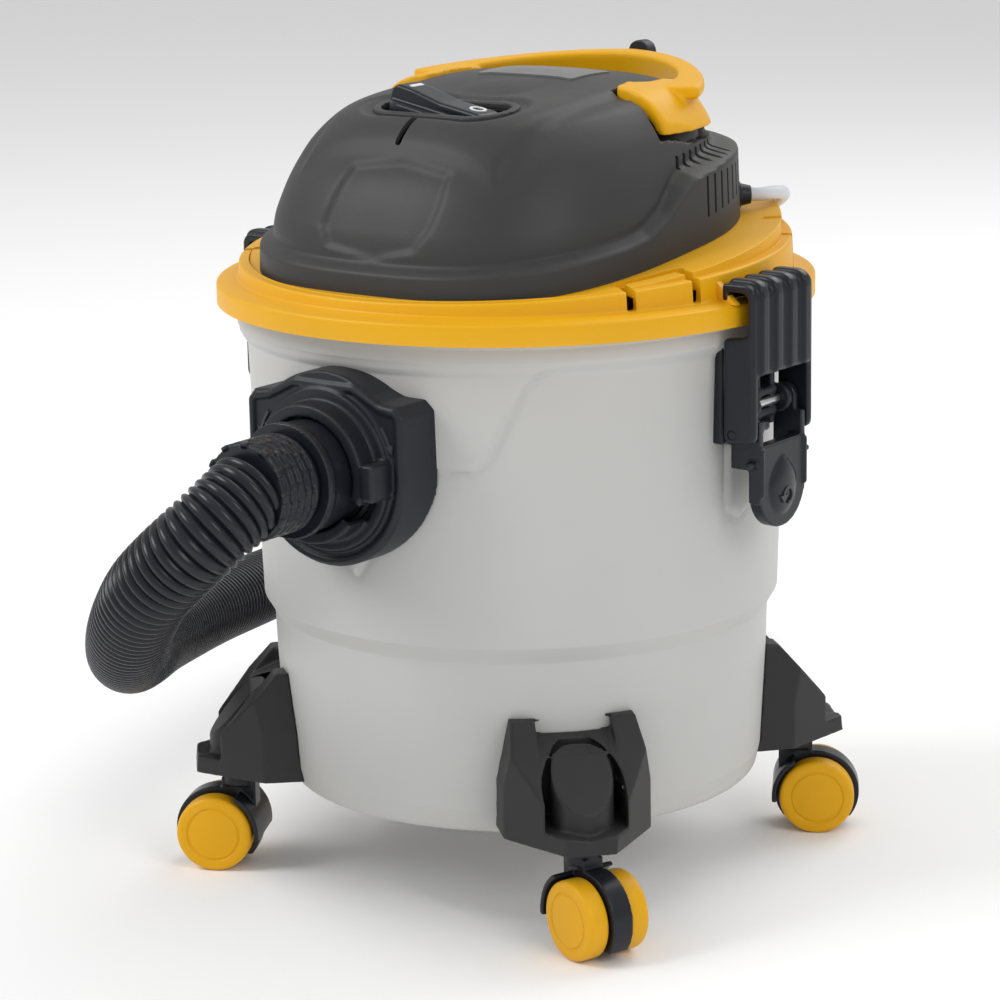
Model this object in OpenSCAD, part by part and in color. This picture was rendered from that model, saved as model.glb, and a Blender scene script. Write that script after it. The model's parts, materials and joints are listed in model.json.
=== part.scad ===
// Wet and dry shop vacuum, 15 litre class: plastic tank on four twin-wheel castors, clip-on motor
// head with a swing-up carry handle, bayonet hose inlet.
// Frame: origin on the tank's axis at floor level, +Z up, hose inlet facing -Y, millimetres.
// An azimuth is counted from -Y (front) towards +X (right).

/* [Tank] */
// Outer radius of the tank at its foot
tank_foot_r = 122.3; // [105:0.1:150]
// Outer radius of the tank just below the rim
tank_top_r = 137.9; // [120:0.1:165]
// Height of the tank's underside above the floor
tank_base_z = 50; // [46:0.5:60]
// Height of the tank's rim
tank_rim_z = 302; // [280:1:340]
// Wall thickness of the tank
tank_wall = 2.8; // [2:0.1:4]
// Height of the step around the tank
ledge_z = 139; // [120:1:160]

/* [Lid] */
// Thickness of the lid's moulding
lid_wall = 3; // [2:0.1:4]
// Width by which the lid's flange stands out past the tank's flared rim
flange_over = 10; // [9:0.5:14]
// Radius of the motor well inside the lid
well_r = 80; // [76:0.5:84]
// Depth of the motor well below the rim
well_depth = 40; // [34:1:50]

/* [Hood] */
// Half width of the hood's base
hood_side = 110; // [104:1:116]
// Reach of the hood's base to the front
hood_front = 128; // [122:1:131]
// Reach of the hood's base to the rear
hood_back = 105; // [100:1:112]
// Wall thickness of the hood
hood_wall = 2.6; // [2:0.1:4]

/* [Handle] */
// Radius of the handle's bail to the middle of its band
bail_r = 97; // [96.5:0.5:102]
// Width of the bail's band
bail_w = 9; // [7:0.5:11]
// Thickness of the bail's band
bail_t = 7; // [5:0.5:9]
// Opening angle at which the handle stands upright
handle_up = 80; // [60:1:90]

/* [Inlet] */
// Height of the inlet's centre
inlet_z = 237; // [225:1:245]
// Half width of the inlet housing
inlet_half = 48; // [44:0.5:54]
// Bore radius of the inlet socket
inlet_bore = 26.5; // [24:0.1:29]
// Distance of the housing's front face from the tank's axis
inlet_face = 155; // [150:0.5:160]

/* [Hose and cable] */
// Outer radius of the hose
hose_r = 21; // [19:0.5:22]
// Radius of the tool end of the hose
tool_end_r = 17.5; // [16:0.25:19]
// Length of the tool end
tool_end_len = 45; // [30:1:60]
// Radius of the mains cable
cable_r = 3.5; // [3:0.1:4]
// Turns across and turns high in the stored cable coil
coil_turns = 4; // [3:1:5]
// Mean radius of the stored cable coil
coil_r = 42; // [38:1:50]

/* [Castors] */
// Radius of a castor wheel
wheel_r = 20; // [18:0.5:21]
// Width of one wheel of a castor
wheel_w = 11; // [8:0.5:12]
// Gap between the two wheels of a castor
wheel_gap = 13; // [11:0.5:16]
// Trail of the wheels behind the swivel stem
trail = 11.5; // [8:0.5:14]
// Distance of the swivel stems from the tank's axis
stem_ring_r = 150; // [146:0.5:170]
// Radius of the swivel stem
stem_r = 5; // [4:0.25:6]

/* [Filter and motor] */
// Radius of the filter cage
cage_r = 60; // [50:0.5:66]
// Length of the filter cage
cage_len = 80; // [60:1:95]
// Thickness of the foam sleeve
foam_t = 5; // [3:0.5:8]
// Radius of the float ball
float_r = 20; // [18:0.5:24]
// Outer radius of the motor's stator
stator_r = 42; // [36:0.5:46]
// Length of the motor's stator
stator_len = 56; // [44:1:58]
// Radius of the motor shaft
shaft_r = 4; // [3:0.25:5]

/* [Latches] */
// Width of a latch claw
claw_w = 53; // [46:0.5:58]
// Distance between a latch's two pivots
latch_throw = 12; // [9:0.5:14]

/* [Hidden] */
$fn = 96;
run_fit = 0.06;     // radial clearance of a turning fit
gap = 0.3;          // clearance between neighbours that don't touch
skin = 0.1;         // clearance between pieces that seat on each other
eps = 0.01;

// colours
c_yellow = [0.91, 0.67, 0.02];
c_tank = [0.78, 0.78, 0.77];
c_hood = [0.26, 0.26, 0.26];
c_bracket = [0.2, 0.2, 0.21];
c_black = [0.15, 0.15, 0.19];
c_steel = [0.72, 0.73, 0.75];
c_rubber = [0.1, 0.1, 0.1];
c_grey = [0.45, 0.45, 0.46];
c_cable = [0.86, 0.86, 0.87];
c_copper = [0.72, 0.42, 0.2];
c_foam = [0.2, 0.2, 0.22];

// tank profile
rim_r = tank_top_r + 4.8;                 // flared rim under the lid
ledge_r = tank_foot_r + 6.1;
ledge_step = 5.2;
foot_round = 5;
flare_z = tank_rim_z - 19;
// lid levels
flange_bot = tank_rim_z - 1.8;
flange_top = flange_bot + 10.3;
flange_r = rim_r + flange_over;
tier_r = flange_r - 11.7;
seal_top = tank_rim_z + 4;
well_floor = tank_rim_z - well_depth;     // underside of the well
// two tilted planes: the lid's outer top edge and the hood's seat
edge_mid = tank_rim_z + 23.8;
edge_tilt = 3.2;
seat_mid = tank_rim_z + 28.5;
seat_tilt = 6.67;
seat_r = 135.6;
// motor levels, stacked from the well's floor
seal_t = 3;
can_bot = well_floor + lid_wall + seal_t;
can_h = 34;
can_r = well_r - 10;
can_top = can_bot + can_h;
stator_bot = can_top + 4;
stator_top = stator_bot + stator_len;
frame_top = stator_top + 14;
intake_r = 16;
cage_bot = well_floor - cage_len;
// castors and brackets
bracket_az = [47.5, -47.5, 139, -139];
castor_az = [70, -62, 121, -150];         // way the wheels trail at rest
bracket_z = tank_base_z + 4;
bracket_top = bracket_z + 58;
bracket_out = stem_ring_r + 22.8;
bracket_half = 37;
stem_top = bracket_z + 28;
axle_r = 3;
// inlet
socket_r = 34;
socket_len = 15;
spigot_r = inlet_bore + 3.5;
barrel_r = inlet_bore + 0.5;
barrel_end = inlet_face + 31;
cuff_in_r = 21.4;
cuff_r = 23;
cuff_end = barrel_end + 28;
// latches, local frame: x along the wall, r outwards
pivot_r = tank_top_r + 12.1;
pivot_z = tank_rim_z - 43;
hook_pin_z = pivot_z - latch_throw;
hook_pin_r = pivot_r - 1.5;
pin_r = 2.5;
lever_out = pivot_r + 11;
claw_in = pivot_r + 7.5;
claw_out = claw_in + 4;
// handle
pivot_y = 8;
pivot_h = tank_rim_z + 95;
bail_tilt = 6;
pin_len = 13;
// switch
switch_y = -55;
switch_z = tank_rim_z + 90;
rocker_half = 33;
rocker_w = 13.5;
rocker_rest = 11;
switch_hole_half = 37;
switch_hole_w = 16;
// cord hook and gland
gland_az = 130;
gland_z = tank_rim_z + 45;
gland_out = 121;
hook_y = 112;

// The hose leaves the cuff forwards, droops to the left, runs back past the tank and lies behind it.
hose_route = [
    [0, -210, 237], [-1, -218, 233], [-5, -229, 225], [-13, -237, 215], [-26, -240, 203],
    [-41, -238, 190], [-58, -229, 175], [-78, -214, 158], [-101, -192, 141], [-127, -163, 127],
    [-155, -126, 116], [-182, -85, 108], [-206, -40, 101], [-226, 8, 96], [-243, 56, 91],
    [-262, 113, 85], [-280, 172, 75], [-290, 226, 63], [-289, 276, 50], [-276, 320, 38],
    [-252, 354, 29], [-220, 377, 23], [-184, 388, 21], [-149, 381, 21], [-125, 358, 21],
    [-117, 326, 21], [-127, 295, 21], [-150, 270, 21], [-180, 246, 21], [-212, 222, 21]
];
// The cable leaves the gland, bends back over the flange and drops behind the tank to its coil.
cable_route = [
    [92.7, 77.8, 347], [97, 82, 347], [99, 90, 347], [97, 101, 345.5], [90, 113, 342], [79, 125, 337],
    [64, 137, 329], [48, 148, 318], [31, 158, 303], [17, 165, 282], [8, 169, 254], [3, 172, 218],
    [1, 175, 180], [0, 179, 140], [0, 184, 102], [0, 190, 66], [-1, 195, 38], [-6, 197, 18],
    [-16, 193, 8], [-28, 184, 4.5]
];
coil_at = [-85, 205];
// The tool end continues the hose's last stretch.
hose_last = hose_route[len(hose_route) - 1];
hose_heading = 216.75;

// ---------- shared helpers ----------
module at_az(az) { rotate([0, 0, az]) children(); }
module along_y(y0, y1, z) { translate([0, y0, z]) rotate([-90, 0, 0]) linear_extrude(y1 - y0) children(); }
// a rod or ring around the axis that points outwards (-y) at height z
module rod_out(r, r0, r1, x, z) { translate([x, -r0, z]) rotate([90, 0, 0]) cylinder(r = r, h = r1 - r0); }
module rod_x(r, x0, x1, y, z) { translate([x0, y, z]) rotate([0, 90, 0]) cylinder(r = r, h = x1 - x0); }
module rod_y(r, y0, y1, x, z) { translate([x, y0, z]) rotate([-90, 0, 0]) cylinder(r = r, h = y1 - y0); }
module tube(r_out, r_in, z0, z1) {
    translate([0, 0, z0]) difference() {
        cylinder(r = r_out, h = z1 - z0);
        translate([0, 0, -1]) cylinder(r = r_in, h = z1 - z0 + 2);
    }
}
// box given by its low and high corners
module span(a, b) { translate(a) cube(b - a); }
module stadium(half, w) {
    translate([-half + w, 0]) circle(r = w);
    translate([half - w, 0]) circle(r = w);
    translate([-half + w, -w]) square([2 * (half - w), 2 * w]);
}
// everything below a plane through height z on the axis, rising to the rear by tilt degrees
module below_plane(z, tilt) {
    translate([0, 0, z]) rotate([tilt, 0, 0]) translate([-300, -300, -400]) cube([600, 600, 400]);
}

// sweep of a round tube along points: unit vectors, then rings joined by triangles
function unit(v) = v / norm(v);
function heading(p, i) = unit(p[min(i + 1, len(p) - 1)] - p[max(i - 1, 0)]);
function side_of(t, s) = unit(s - (s * t) * t);
function sides(p, i = 0, s = [0, 0, 1]) = i >= len(p) ? [] :
    let (n = side_of(heading(p, i), s)) concat([n], sides(p, i + 1, n));
module sweep(p, r, n) {
    s = sides(p, 0, abs(heading(p, 0)[2]) > 0.9 ? [1, 0, 0] : [0, 0, 1]);
    rings = [for (i = [0:len(p) - 1], k = [0:n - 1])
        let (t = heading(p, i), a = 360 * k / n) p[i] + r * (cos(a) * s[i] + sin(a) * cross(t, s[i]))];
    skin_faces = [for (i = [0:len(p) - 2], k = [0:n - 1], j = [0, 1])
        let (a = i * n + k, b = i * n + (k + 1) % n) j == 0 ? [a, a + n, b] : [b, a + n, b + n]];
    ends = [[for (k = [0:n - 1]) k], [for (k = [n - 1:-1:0]) (len(p) - 1) * n + k]];
    polyhedron(rings, concat(skin_faces, ends), convexity = 10);
}

// ---------- tank ----------
function foot_arc(r) = [for (a = [-90:15:0])
    [tank_foot_r - foot_round + r * cos(a), tank_base_z + foot_round + r * sin(a)]];
function tank_wall_line(d) = [
    [tank_foot_r + 2.4 + d, tank_base_z + 7 + foot_round],
    [ledge_r - 0.7 + d, ledge_z - 23], [ledge_r + d, ledge_z],
    [ledge_r + ledge_step + d, ledge_z + 8.7], [tank_top_r + d, flare_z],
    [rim_r + d, flare_z + 7]
];
module tank_profile(d) {
    polygon(concat([[0, tank_base_z - d]], foot_arc(foot_round + d), tank_wall_line(d),
        [[rim_r + d, tank_rim_z + d], [0, tank_rim_z + d]]));
}
module tank_body(d) { rotate_extrude() tank_profile(d); }
module tank() {
    color(c_tank) difference() {
        tank_body(0);
        tank_body(-tank_wall);
        translate([0, 0, tank_rim_z - tank_wall - 1]) cylinder(r = rim_r - tank_wall, h = tank_wall + 2);
        rod_y(spigot_r + gap, -rim_r - 5, -60, 0, inlet_z);
        for (p = inlet_screw_at) rod_y(2.3, -rim_r - 5, -60, p[0], p[1]);
        for (az = bracket_az, x = [-22, 22]) at_az(az) rod_out(2.3, 100, 160, x, bracket_z + 26);
    }
}

// ---------- inlet ----------
inlet_screw_at = [[-38, inlet_z + 18], [38, inlet_z + 18], [-31, inlet_z - 26], [31, inlet_z - 26]];
module inlet_outline(d) {
    r = inlet_half - d;
    translate([0, inlet_z]) circle(r = r);
    low = inlet_z + 35 - d;
    high = inlet_z + 44 - d;
    polygon([[-r, inlet_z], [r, inlet_z], [r, inlet_z + 30], [r - 4, low], [inlet_half - 14, low + 1],
        [18, high], [-18, high], [14 - inlet_half, low + 1], [4 - r, low], [-r, inlet_z + 30]]);
}
// extrusion of a front view (x, z) between two distances in front of the axis
module front_extrude(r0, r1) { translate([0, -r0, 0]) rotate([90, 0, 0]) linear_extrude(r1 - r0)
    children(); }
module inlet_housing() {
    lip_in = barrel_r + 1.2;
    color(c_black) difference() {
        union() {
            difference() {
                front_extrude(100, inlet_face) inlet_outline(0);
                front_extrude(90, inlet_face - 3) inlet_outline(3);
            }
            rod_out(40, inlet_face - eps, inlet_face + 3, 0, inlet_z);
            rod_out(socket_r, inlet_face, inlet_face + socket_len, 0, inlet_z);
            for (s = [-1, 1])
                span([s * 35.5 - 3.5, -inlet_face - socket_len, inlet_z - 7],
                    [s * 35.5 + 3.5, -inlet_face, inlet_z + 7]);
            rod_out(spigot_r, 118, inlet_face, 0, inlet_z);
            for (p = inlet_screw_at) rod_out(4.5, 120, inlet_face - 2, p[0], p[1]);
        }
        difference() {
            union() {
                tank_body(skin);
                translate([0, 0, inlet_z - 90]) cylinder(r = tank_top_r - 1, h = 180);
            }
            rod_out(spigot_r, 100, inlet_face, 0, inlet_z);
        }
        rod_out(inlet_bore, 90, inlet_face + 2, 0, inlet_z);
        rod_out(socket_r - 3, inlet_face, inlet_face + socket_len - 2.5, 0, inlet_z);
        rod_out(lip_in, inlet_face, inlet_face + socket_len + 1, 0, inlet_z);
        for (s = [-1, 1]) translate([0, 0, inlet_z]) rotate([0, 30, 0]) translate([0, 0, -inlet_z])
            span([s * 30 - 4, -inlet_face - socket_len - 1, inlet_z - 6],
                [s * 30 + 4, -inlet_face, inlet_z + 6]);
        rod_out(spigot_r - 0.5, inlet_face - 2.5, inlet_face + 0.5, 0, inlet_z);
        for (p = inlet_screw_at) rod_out(1.95, 110, inlet_face - 6, p[0], p[1]);
    }
}
module inlet_seal() {
    color(c_rubber) difference() {
        rod_out(spigot_r - 0.6, inlet_face - 2.4, inlet_face - skin, 0, inlet_z);
        rod_out(barrel_r + gap, inlet_face - 4, inlet_face + 1, 0, inlet_z);
    }
}
module inlet_deflector() {
    sleeve = spigot_r + skin;
    color(c_black) difference() {
        union() {
            rod_out(sleeve + 2.5, 98, 128, 0, inlet_z);
            translate([0, -98, inlet_z]) sphere(r = sleeve + 2.5);
        }
        rod_out(sleeve, 118 - eps, 160, 0, inlet_z);
        rod_out(inlet_bore, 98, 130, 0, inlet_z);
        translate([0, -98, inlet_z]) sphere(r = inlet_bore);
        span([-60, -130 + 32, inlet_z - 60], [60, -40, inlet_z - 4]);
        span([-60, -90, inlet_z - 60], [60, -40, inlet_z + 60]);
    }
}
module screw_out(r_head, r_thread, r0, r1, x, z) {
    rod_out(r_head, r0 - 2.5, r0, x, z);
    rod_out(r_thread, r0 - 1, r1, x, z);
}
module inlet_screws() {
    color(c_steel) for (p = inlet_screw_at) screw_out(4, 1.9, 124.5, inlet_face - 7, p[0], p[1]);
}

// ---------- castor brackets ----------
module bracket(k) {
    h = bracket_half;
    color(c_bracket) difference() {
        at_az(bracket_az[k]) difference() {
            union() {
                intersection() {
                    // side view: distance from the axis against height
                    translate([-h, 0, 0]) rotate([90, 0, 90]) linear_extrude(2 * h) polygon([
                        [-110, bracket_z], [-bracket_out, bracket_z], [-bracket_out + 1, bracket_z + 10],
                        [-bracket_out + 42, bracket_top - 1], [-110, bracket_top]]);
                    // front view: sides lean in towards the top
                    front_extrude(100, bracket_out + 1) polygon([[-h, bracket_z], [h, bracket_z],
                        [h, bracket_z + 26], [h - 6, bracket_top], [6 - h, bracket_top],
                            [-h, bracket_z + 26]]);
                    // plan: the outer end is blunt with sloping corners
                    translate([0, 0, bracket_z - 1]) linear_extrude(100)
                        polygon([[-h, -100], [-h, 12 - stem_ring_r],
                        [-12, -bracket_out], [12, -bracket_out], [h, 12 - stem_ring_r], [h, -100]]);
                }
            }
            // arched recess around the post
            difference() {
                union() {
                    span([-20.5, -bracket_out - 1, bracket_z + 9],
                        [20.5, -tank_foot_r - 9, bracket_z + 28]);
                    rod_out(20.5, tank_foot_r + 9, bracket_out + 1, 0, bracket_z + 28);
                }
                translate([0, -stem_ring_r, bracket_z]) cylinder(r = 15.2, h = 46);
            }
            translate([0, -stem_ring_r, bracket_z + 44]) rotate([24, 0, 0]) translate([-19, -26, -4])
                cube([38, 52, 30]);
            translate([0, -stem_ring_r, bracket_z - 1])
                cylinder(r = stem_r + run_fit, h = stem_top - bracket_z + 1.5);
            for (x = [-22, 22]) rod_out(1.95, 100, 150, x, bracket_z + 26);
        }
        tank_body(skin);
        translate([0, 0, bracket_z - 5]) cylinder(r = tank_foot_r - 3, h = 80);
    }
}
module bracket_screws() {
    color(c_steel) for (az = bracket_az, x = [-22, 22])
        at_az(az) screw_out(3.8, 1.9, 118.6, 149, x, bracket_z + 26);
}

// ---------- castors ----------
module castor_place(k) { at_az(bracket_az[k]) translate([0, -stem_ring_r, 0])
    rotate([0, 0, castor_az[k] - bracket_az[k]]) children(); }
module castor(k) {
    color(c_black) castor_place(k) {
        hood_in = wheel_r + 1.6;
        w = wheel_gap / 2 - 0.8;
        difference() {
            union() {
                translate([0, 0, bracket_z - 11]) cylinder(r = stem_r, h = stem_top - bracket_z + 11);
                translate([0, 0, bracket_z - 10]) cylinder(r = 9, h = 9.4);
                difference() {
                    rod_x(hood_in + 2.4, -wheel_gap / 2 - wheel_w, wheel_gap / 2 + wheel_w, -trail,
                        wheel_r);
                    rod_x(hood_in, -50, 50, -trail, wheel_r);
                    span([-50, -trail - 60, -40], [50, -trail + 60, wheel_r - 3]);
                    translate([0, -trail, wheel_r]) rotate([-38, 0, 0]) span([-50, -60, -40], [50, -3, 60]);
                }
                intersection() {
                    union() {
                        rod_x(hood_in + 1, -w, w, -trail, wheel_r);
                        span([-w, -9, wheel_r], [w, 9, bracket_z - 6]);
                    }
                    span([-w, -60, wheel_r - 14], [w, 60, bracket_z - 1]);
                }
            }
            rod_x(axle_r + run_fit, -60, 60, -trail, wheel_r);
        }
    }
}
module wheels(k) {
    castor_place(k) {
        color(c_yellow) for (s = [-1, 1]) translate([s * (wheel_gap + wheel_w) / 2, 0, 0]) difference() {
            rod_x(wheel_r, -wheel_w / 2, wheel_w / 2, -trail, wheel_r);
            if (s > 0) rod_x(axle_r + 0.05, -wheel_w, wheel_w / 2 - 3, -trail, wheel_r);
            else rod_x(axle_r + 0.05, 3 - wheel_w / 2, wheel_w, -trail, wheel_r);
        }
        color(c_steel) rod_x(axle_r, -wheel_gap / 2 - wheel_w + 3.1,
            wheel_gap / 2 + wheel_w - 3.1, -trail, wheel_r);
    }
}

// ---------- latches ----------
module latch_side(s) { at_az(90 * s) children(); }
module latch_base(s) {
    color(c_black) difference() {
        latch_side(s) difference() {
            union() {
                span([-15, -pivot_r + 9, pivot_z - 20], [15, 20 - pivot_r, pivot_z + 24]);
                for (x = [-14, 14]) {
                    span([x - 2, -pivot_r, pivot_z - 7], [x + 2, -pivot_r + 12, pivot_z + 7]);
                    rod_x(7, x - 2, x + 2, -pivot_r, pivot_z);
                }
            }
            rod_x(pin_r + run_fit, -30, 30, -pivot_r, pivot_z);
        }
        tank_body(skin);
        translate([0, 0, pivot_z - 60]) cylinder(r = tank_foot_r + 10, h = 120);
    }
}
module latch_pivot_pins() { color(c_steel) for (s = [-1, 1]) latch_side(s)
    rod_x(pin_r, -21, 21, -pivot_r, pivot_z); }
module latch_lever(s) {
    color(c_black) latch_side(s) {
        difference() {
            union() {
                span([-21, -lever_out, pivot_z - 46], [21, -pivot_r - 4.5, pivot_z - 18]);
                intersection() {
                    rod_out(21, pivot_r + 4.5, lever_out, 0, pivot_z - 40);
                    span([-21, -lever_out, pivot_z - 65], [21, -pivot_r - 4.5, pivot_z - 40]);
                }
                for (x = [-19, 19]) {
                    rod_x(7, x - 2, x + 2, -pivot_r, pivot_z);
                    span([x - 2, -lever_out, pivot_z - 30], [x + 2, -hook_pin_r + 4, pivot_z - latch_throw + 6]);
                    span([x - 2, -pivot_r - 7, pivot_z - latch_throw], [x + 2, -pivot_r + 5, pivot_z]);
                }
            }
            rod_x(pin_r + run_fit, -30, 30, -pivot_r, pivot_z);
        }
        for (x = [-1, 1]) rod_x(2.4, x > 0 ? 20.9 : -claw_w / 2, x > 0 ? claw_w / 2 : -20.9, -hook_pin_r,
            hook_pin_z);
    }
}
module latch_hook(s) {
    half = claw_w / 2;
    lip_z = flange_top + 1.8 + gap;
    claw_top = lip_z + 8.5;
    color(c_black) latch_side(s) difference() {
        union() {
            span([-half, -claw_out, flange_bot - 26], [half, -claw_in, claw_top]);
            span([-half, -claw_in - eps, claw_top - 4.5], [half, -tier_r - 2, claw_top]);
            span([-half, -tier_r - 5.5, lip_z], [half, -tier_r - 2, claw_top - 4]);
            for (x = [-1, 1]) {
                x0 = x > 0 ? half - 4 : -half;
                span([x0, -claw_out, hook_pin_z - 5], [x0 + 4, -claw_in, claw_top - 8]);
                span([x0, -claw_in - eps, hook_pin_z - 5], [x0 + 4, -hook_pin_r + 5, flange_bot - 4]);
            }
            for (x = [-20, -10, 10, 20]) span([x - 2, -claw_out - 2, flange_bot - 24],
                [x + 2, -claw_out + eps, claw_top - 3]);
        }
        rod_x(2.4 + run_fit, -40, 40, -hook_pin_r, hook_pin_z);
    }
}

// ---------- hose ----------
module hose_run() { color(c_black) sweep(hose_route, hose_r, 12); }
module hose_cuff() {
    color(c_black) difference() {
        union() {
            rod_out(cuff_r, barrel_end + 0.5, cuff_end, 0, inlet_z);
            for (i = [0:4]) rod_out(cuff_r + 1.2, barrel_end + 3 + 5 * i, barrel_end + 5 + 5 * i, 0,
                inlet_z);
            rod_out(cuff_in_r, barrel_end - 20, barrel_end + 1, 0, inlet_z);
        }
        rod_out(18, barrel_end - 30, cuff_end - 4, 0, inlet_z);
    }
}
module hose_end_cuff() {
    grip = 38;
    color(c_black) translate([hose_last[0], hose_last[1], hose_r]) rotate([0, 0, hose_heading - 90])
        difference() {
        union() {
            rod_y(hose_r, -2, grip, 0, 0);
            rod_y(tool_end_r, grip - 1, grip + tool_end_len, 0, 0);
        }
        rod_y(tool_end_r - 2, grip - 10, grip + tool_end_len + 1, 0, 0);
    }
}
module hose_connector() {
    color(c_black) difference() {
        union() {
            rod_out(inlet_bore - run_fit, 122, inlet_face, 0, inlet_z);
            rod_out(barrel_r, inlet_face - 0.5, barrel_end - 4, 0, inlet_z);
            rod_out(barrel_r + 1.2, barrel_end - 5, barrel_end, 0, inlet_z);
            for (s = [-1, 1]) span([s * 28.3 - 2, -inlet_face - 11, inlet_z - 3],
                [s * 28.3 + 2, -inlet_face - 5, inlet_z + 3]);
        }
        rod_out(cuff_in_r + run_fit, 110, barrel_end + 1, 0, inlet_z);
        translate([0, -138, inlet_z]) rotate([90, 0, 0]) difference() {
            cylinder(r = inlet_bore + 2, h = 3);
            translate([0, 0, -1]) cylinder(r = inlet_bore - 1.6, h = 5);
        }
    }
}
module connector_ring() {
    color(c_rubber) translate([0, -139.5, inlet_z]) rotate([90, 0, 0])
        rotate_extrude() translate([inlet_bore - 0.85, 0]) circle(r = 0.7, $fn = 24);
}

// ---------- lid ----------
module lid() {
    color(c_yellow) difference() {
        union() {
            rotate_extrude() polygon([[0, flange_bot], [flange_r - 0.8, flange_bot],
                [flange_r, flange_bot + 1],
                [flange_r, flange_top - 1.5], [flange_r - 1.5, flange_top], [tier_r, flange_top + 1.8],
                    [0, flange_top + 1.8]]);
            intersection() {
                translate([0, 0, flange_top]) cylinder(r = tier_r, h = 60);
                below_plane(edge_mid, edge_tilt);
            }
            intersection() {
                translate([0, 0, flange_top]) cylinder(r = seat_r, h = 60);
                below_plane(seat_mid, seat_tilt);
            }
            translate([0, 0, well_floor]) cylinder(r = well_r + lid_wall, h = 60);
        }
        // the hood's seat cuts into the tier at the front
        difference() {
            translate([0, 0, flange_top]) cylinder(r = seat_r, h = 60);
            below_plane(seat_mid, seat_tilt);
        }
        // underside: skirt around the rim, seal seat, space between skirt and well
        difference() {
            translate([0, 0, flange_bot - 5]) cylinder(r = rim_r + 1.3, h = seal_top - flange_bot + 5);
            translate([0, 0, flange_bot - 6]) cylinder(r = well_r + lid_wall, h = 60);
        }
        difference() {
            translate([0, 0, flange_bot - 5]) cylinder(r = rim_r - 4, h = 44);
            translate([0, 0, flange_bot - 6]) cylinder(r = well_r + lid_wall, h = 60);
            difference() {
                cylinder(r = 200, h = 500);
                below_plane(seat_mid - lid_wall - 6, edge_tilt);
            }
        }
        for (p = hood_boss_at) translate([p[0], p[1], flange_bot - 5]) cylinder(r = 2.3, h = 80);
        translate([0, 0, well_floor + lid_wall]) cylinder(r = well_r, h = 200);
        translate([0, 0, well_floor - 1]) cylinder(r = intake_r, h = 20);
        for (a = [30:60:330]) at_az(a) translate([0, -cage_r + 4, well_floor - 1])
            cylinder(r = 1.95, h = 20);
    }
}
module lid_seal() { color(c_rubber) tube(rim_r - skin, rim_r - 3.6, tank_rim_z + skin, seal_top - skin); }

// ---------- hood ----------
// rings from the seat to the crown: height at the front, height at the rear, scale front, scale rear
hood_rings = [
    [0, 0, 1.01, 1], [11.5, 8, 1, 0.998], [17, 14, 0.95, 0.985], [27.6, 20, 0.935, 0.98],
    [35, 27, 0.915, 0.975], [45, 31, 0.88, 0.93], [55, 35, 0.835, 0.875], [65, 44, 0.78, 0.85],
    [74.5, 54, 0.705, 0.81], [80, 60, 0.645, 0.74], [83.5, 64, 0.565, 0.62], [85.5, 66, 0.42, 0.42],
    [86.6, 67, 0.21, 0.21]
];
crown_rise = 77;
hood_boss_at = [for (a = [40, -40, 140, -140])
    let (r = plan_r(a) * (cos(a) > 0 ? 0.9 : 0.945)) [r * sin(a), -r * cos(a)]];
function seat_under(y) = seat_mid - lid_wall - 6 + tan(edge_tilt) * y;
function plan_y(a) = cos(a) > 0 ? hood_front : hood_back;
function plan_n(a) = cos(a) > 0 ? 2.8 : 2.5;
function plan_r(a) = pow(pow(abs(sin(a)) / hood_side, plan_n(a)) + pow(abs(cos(a)) / plan_y(a),
    plan_n(a)), -1 / plan_n(a));
function seat_at(y) = seat_mid + gap + tan(seat_tilt) * y;
function toward_back(a) = (hood_front - plan_r(a) * cos(a)) / (hood_front + hood_back);
function hood_point(k, a, d) = let (
    w = toward_back(a), q = hood_rings[k], s = q[2] * (1 - w) + q[3] * w,
    rise = q[0] * (1 - w) + q[1] * w, r = plan_r(a) * s - d, base = seat_at(-plan_r(a) * cos(a)))
    [r * sin(a), -r * cos(a), base + rise - (k > 6 ? d : d * 0.5 * min(k, 1))];
function crown(d) = seat_at(0) + crown_rise - d;
module hood_solid(d, drop) {
    n = 48;
    m = len(hood_rings);
    pts = concat([for (k = [0:m - 1], i = [0:n - 1])
        hood_point(k, 360 * i / n, d) - [0, 0, k == 0 ? drop : 0]],
        [[0, 0, crown(d)], [0, 0, seat_at(0) - drop]]);
    walls = [for (k = [0:m - 2], i = [0:n - 1], j = [0, 1])
        let (a = k * n + i, b = k * n + (i + 1) % n) j == 0 ? [a, a + n, b] : [b, a + n, b + n]];
    top = [for (i = [0:n - 1]) [(m - 1) * n + i, m * n, (m - 1) * n + (i + 1) % n]];
    foot = [for (i = [0:n - 1]) [i, (i + 1) % n, m * n + 1]];
    polyhedron(pts, concat(walls, top, foot), convexity = 6);
}
module hood() {
    color(c_hood) difference() {
        hood_solid(0, 0);
        difference() {
            hood_solid(hood_wall, 5);
            for (p = hood_boss_at) translate([p[0], p[1], 0]) cylinder(r = 5, h = seat_at(p[1]) + 20);
        }
        for (p = hood_boss_at) translate([p[0], p[1], 0]) cylinder(r = 1.95, h = seat_at(p[1]) + 17);
        translate([0, switch_y, 370]) linear_extrude(60) stadium(switch_hole_half, switch_hole_w);
        for (s = [-1, 1], i = [0:6]) at_az(s * (98 + 4.5 * i))
            span([-1.6, -140, seat_at(60) + 6], [1.6, -90, seat_at(60) + 24]);
        plate_place() span([-30.2, -17.2, 0], [30.2, 17.2, 9]);
    }
}
module plate_place() { translate([0, 27, seat_at(0) + crown_rise + 0.4]) rotate([1, 0, 0]) children(); }
module rating_plate() { color(c_grey) plate_place() span([-30, -17, skin], [30, 17, 1.2]); }
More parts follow.
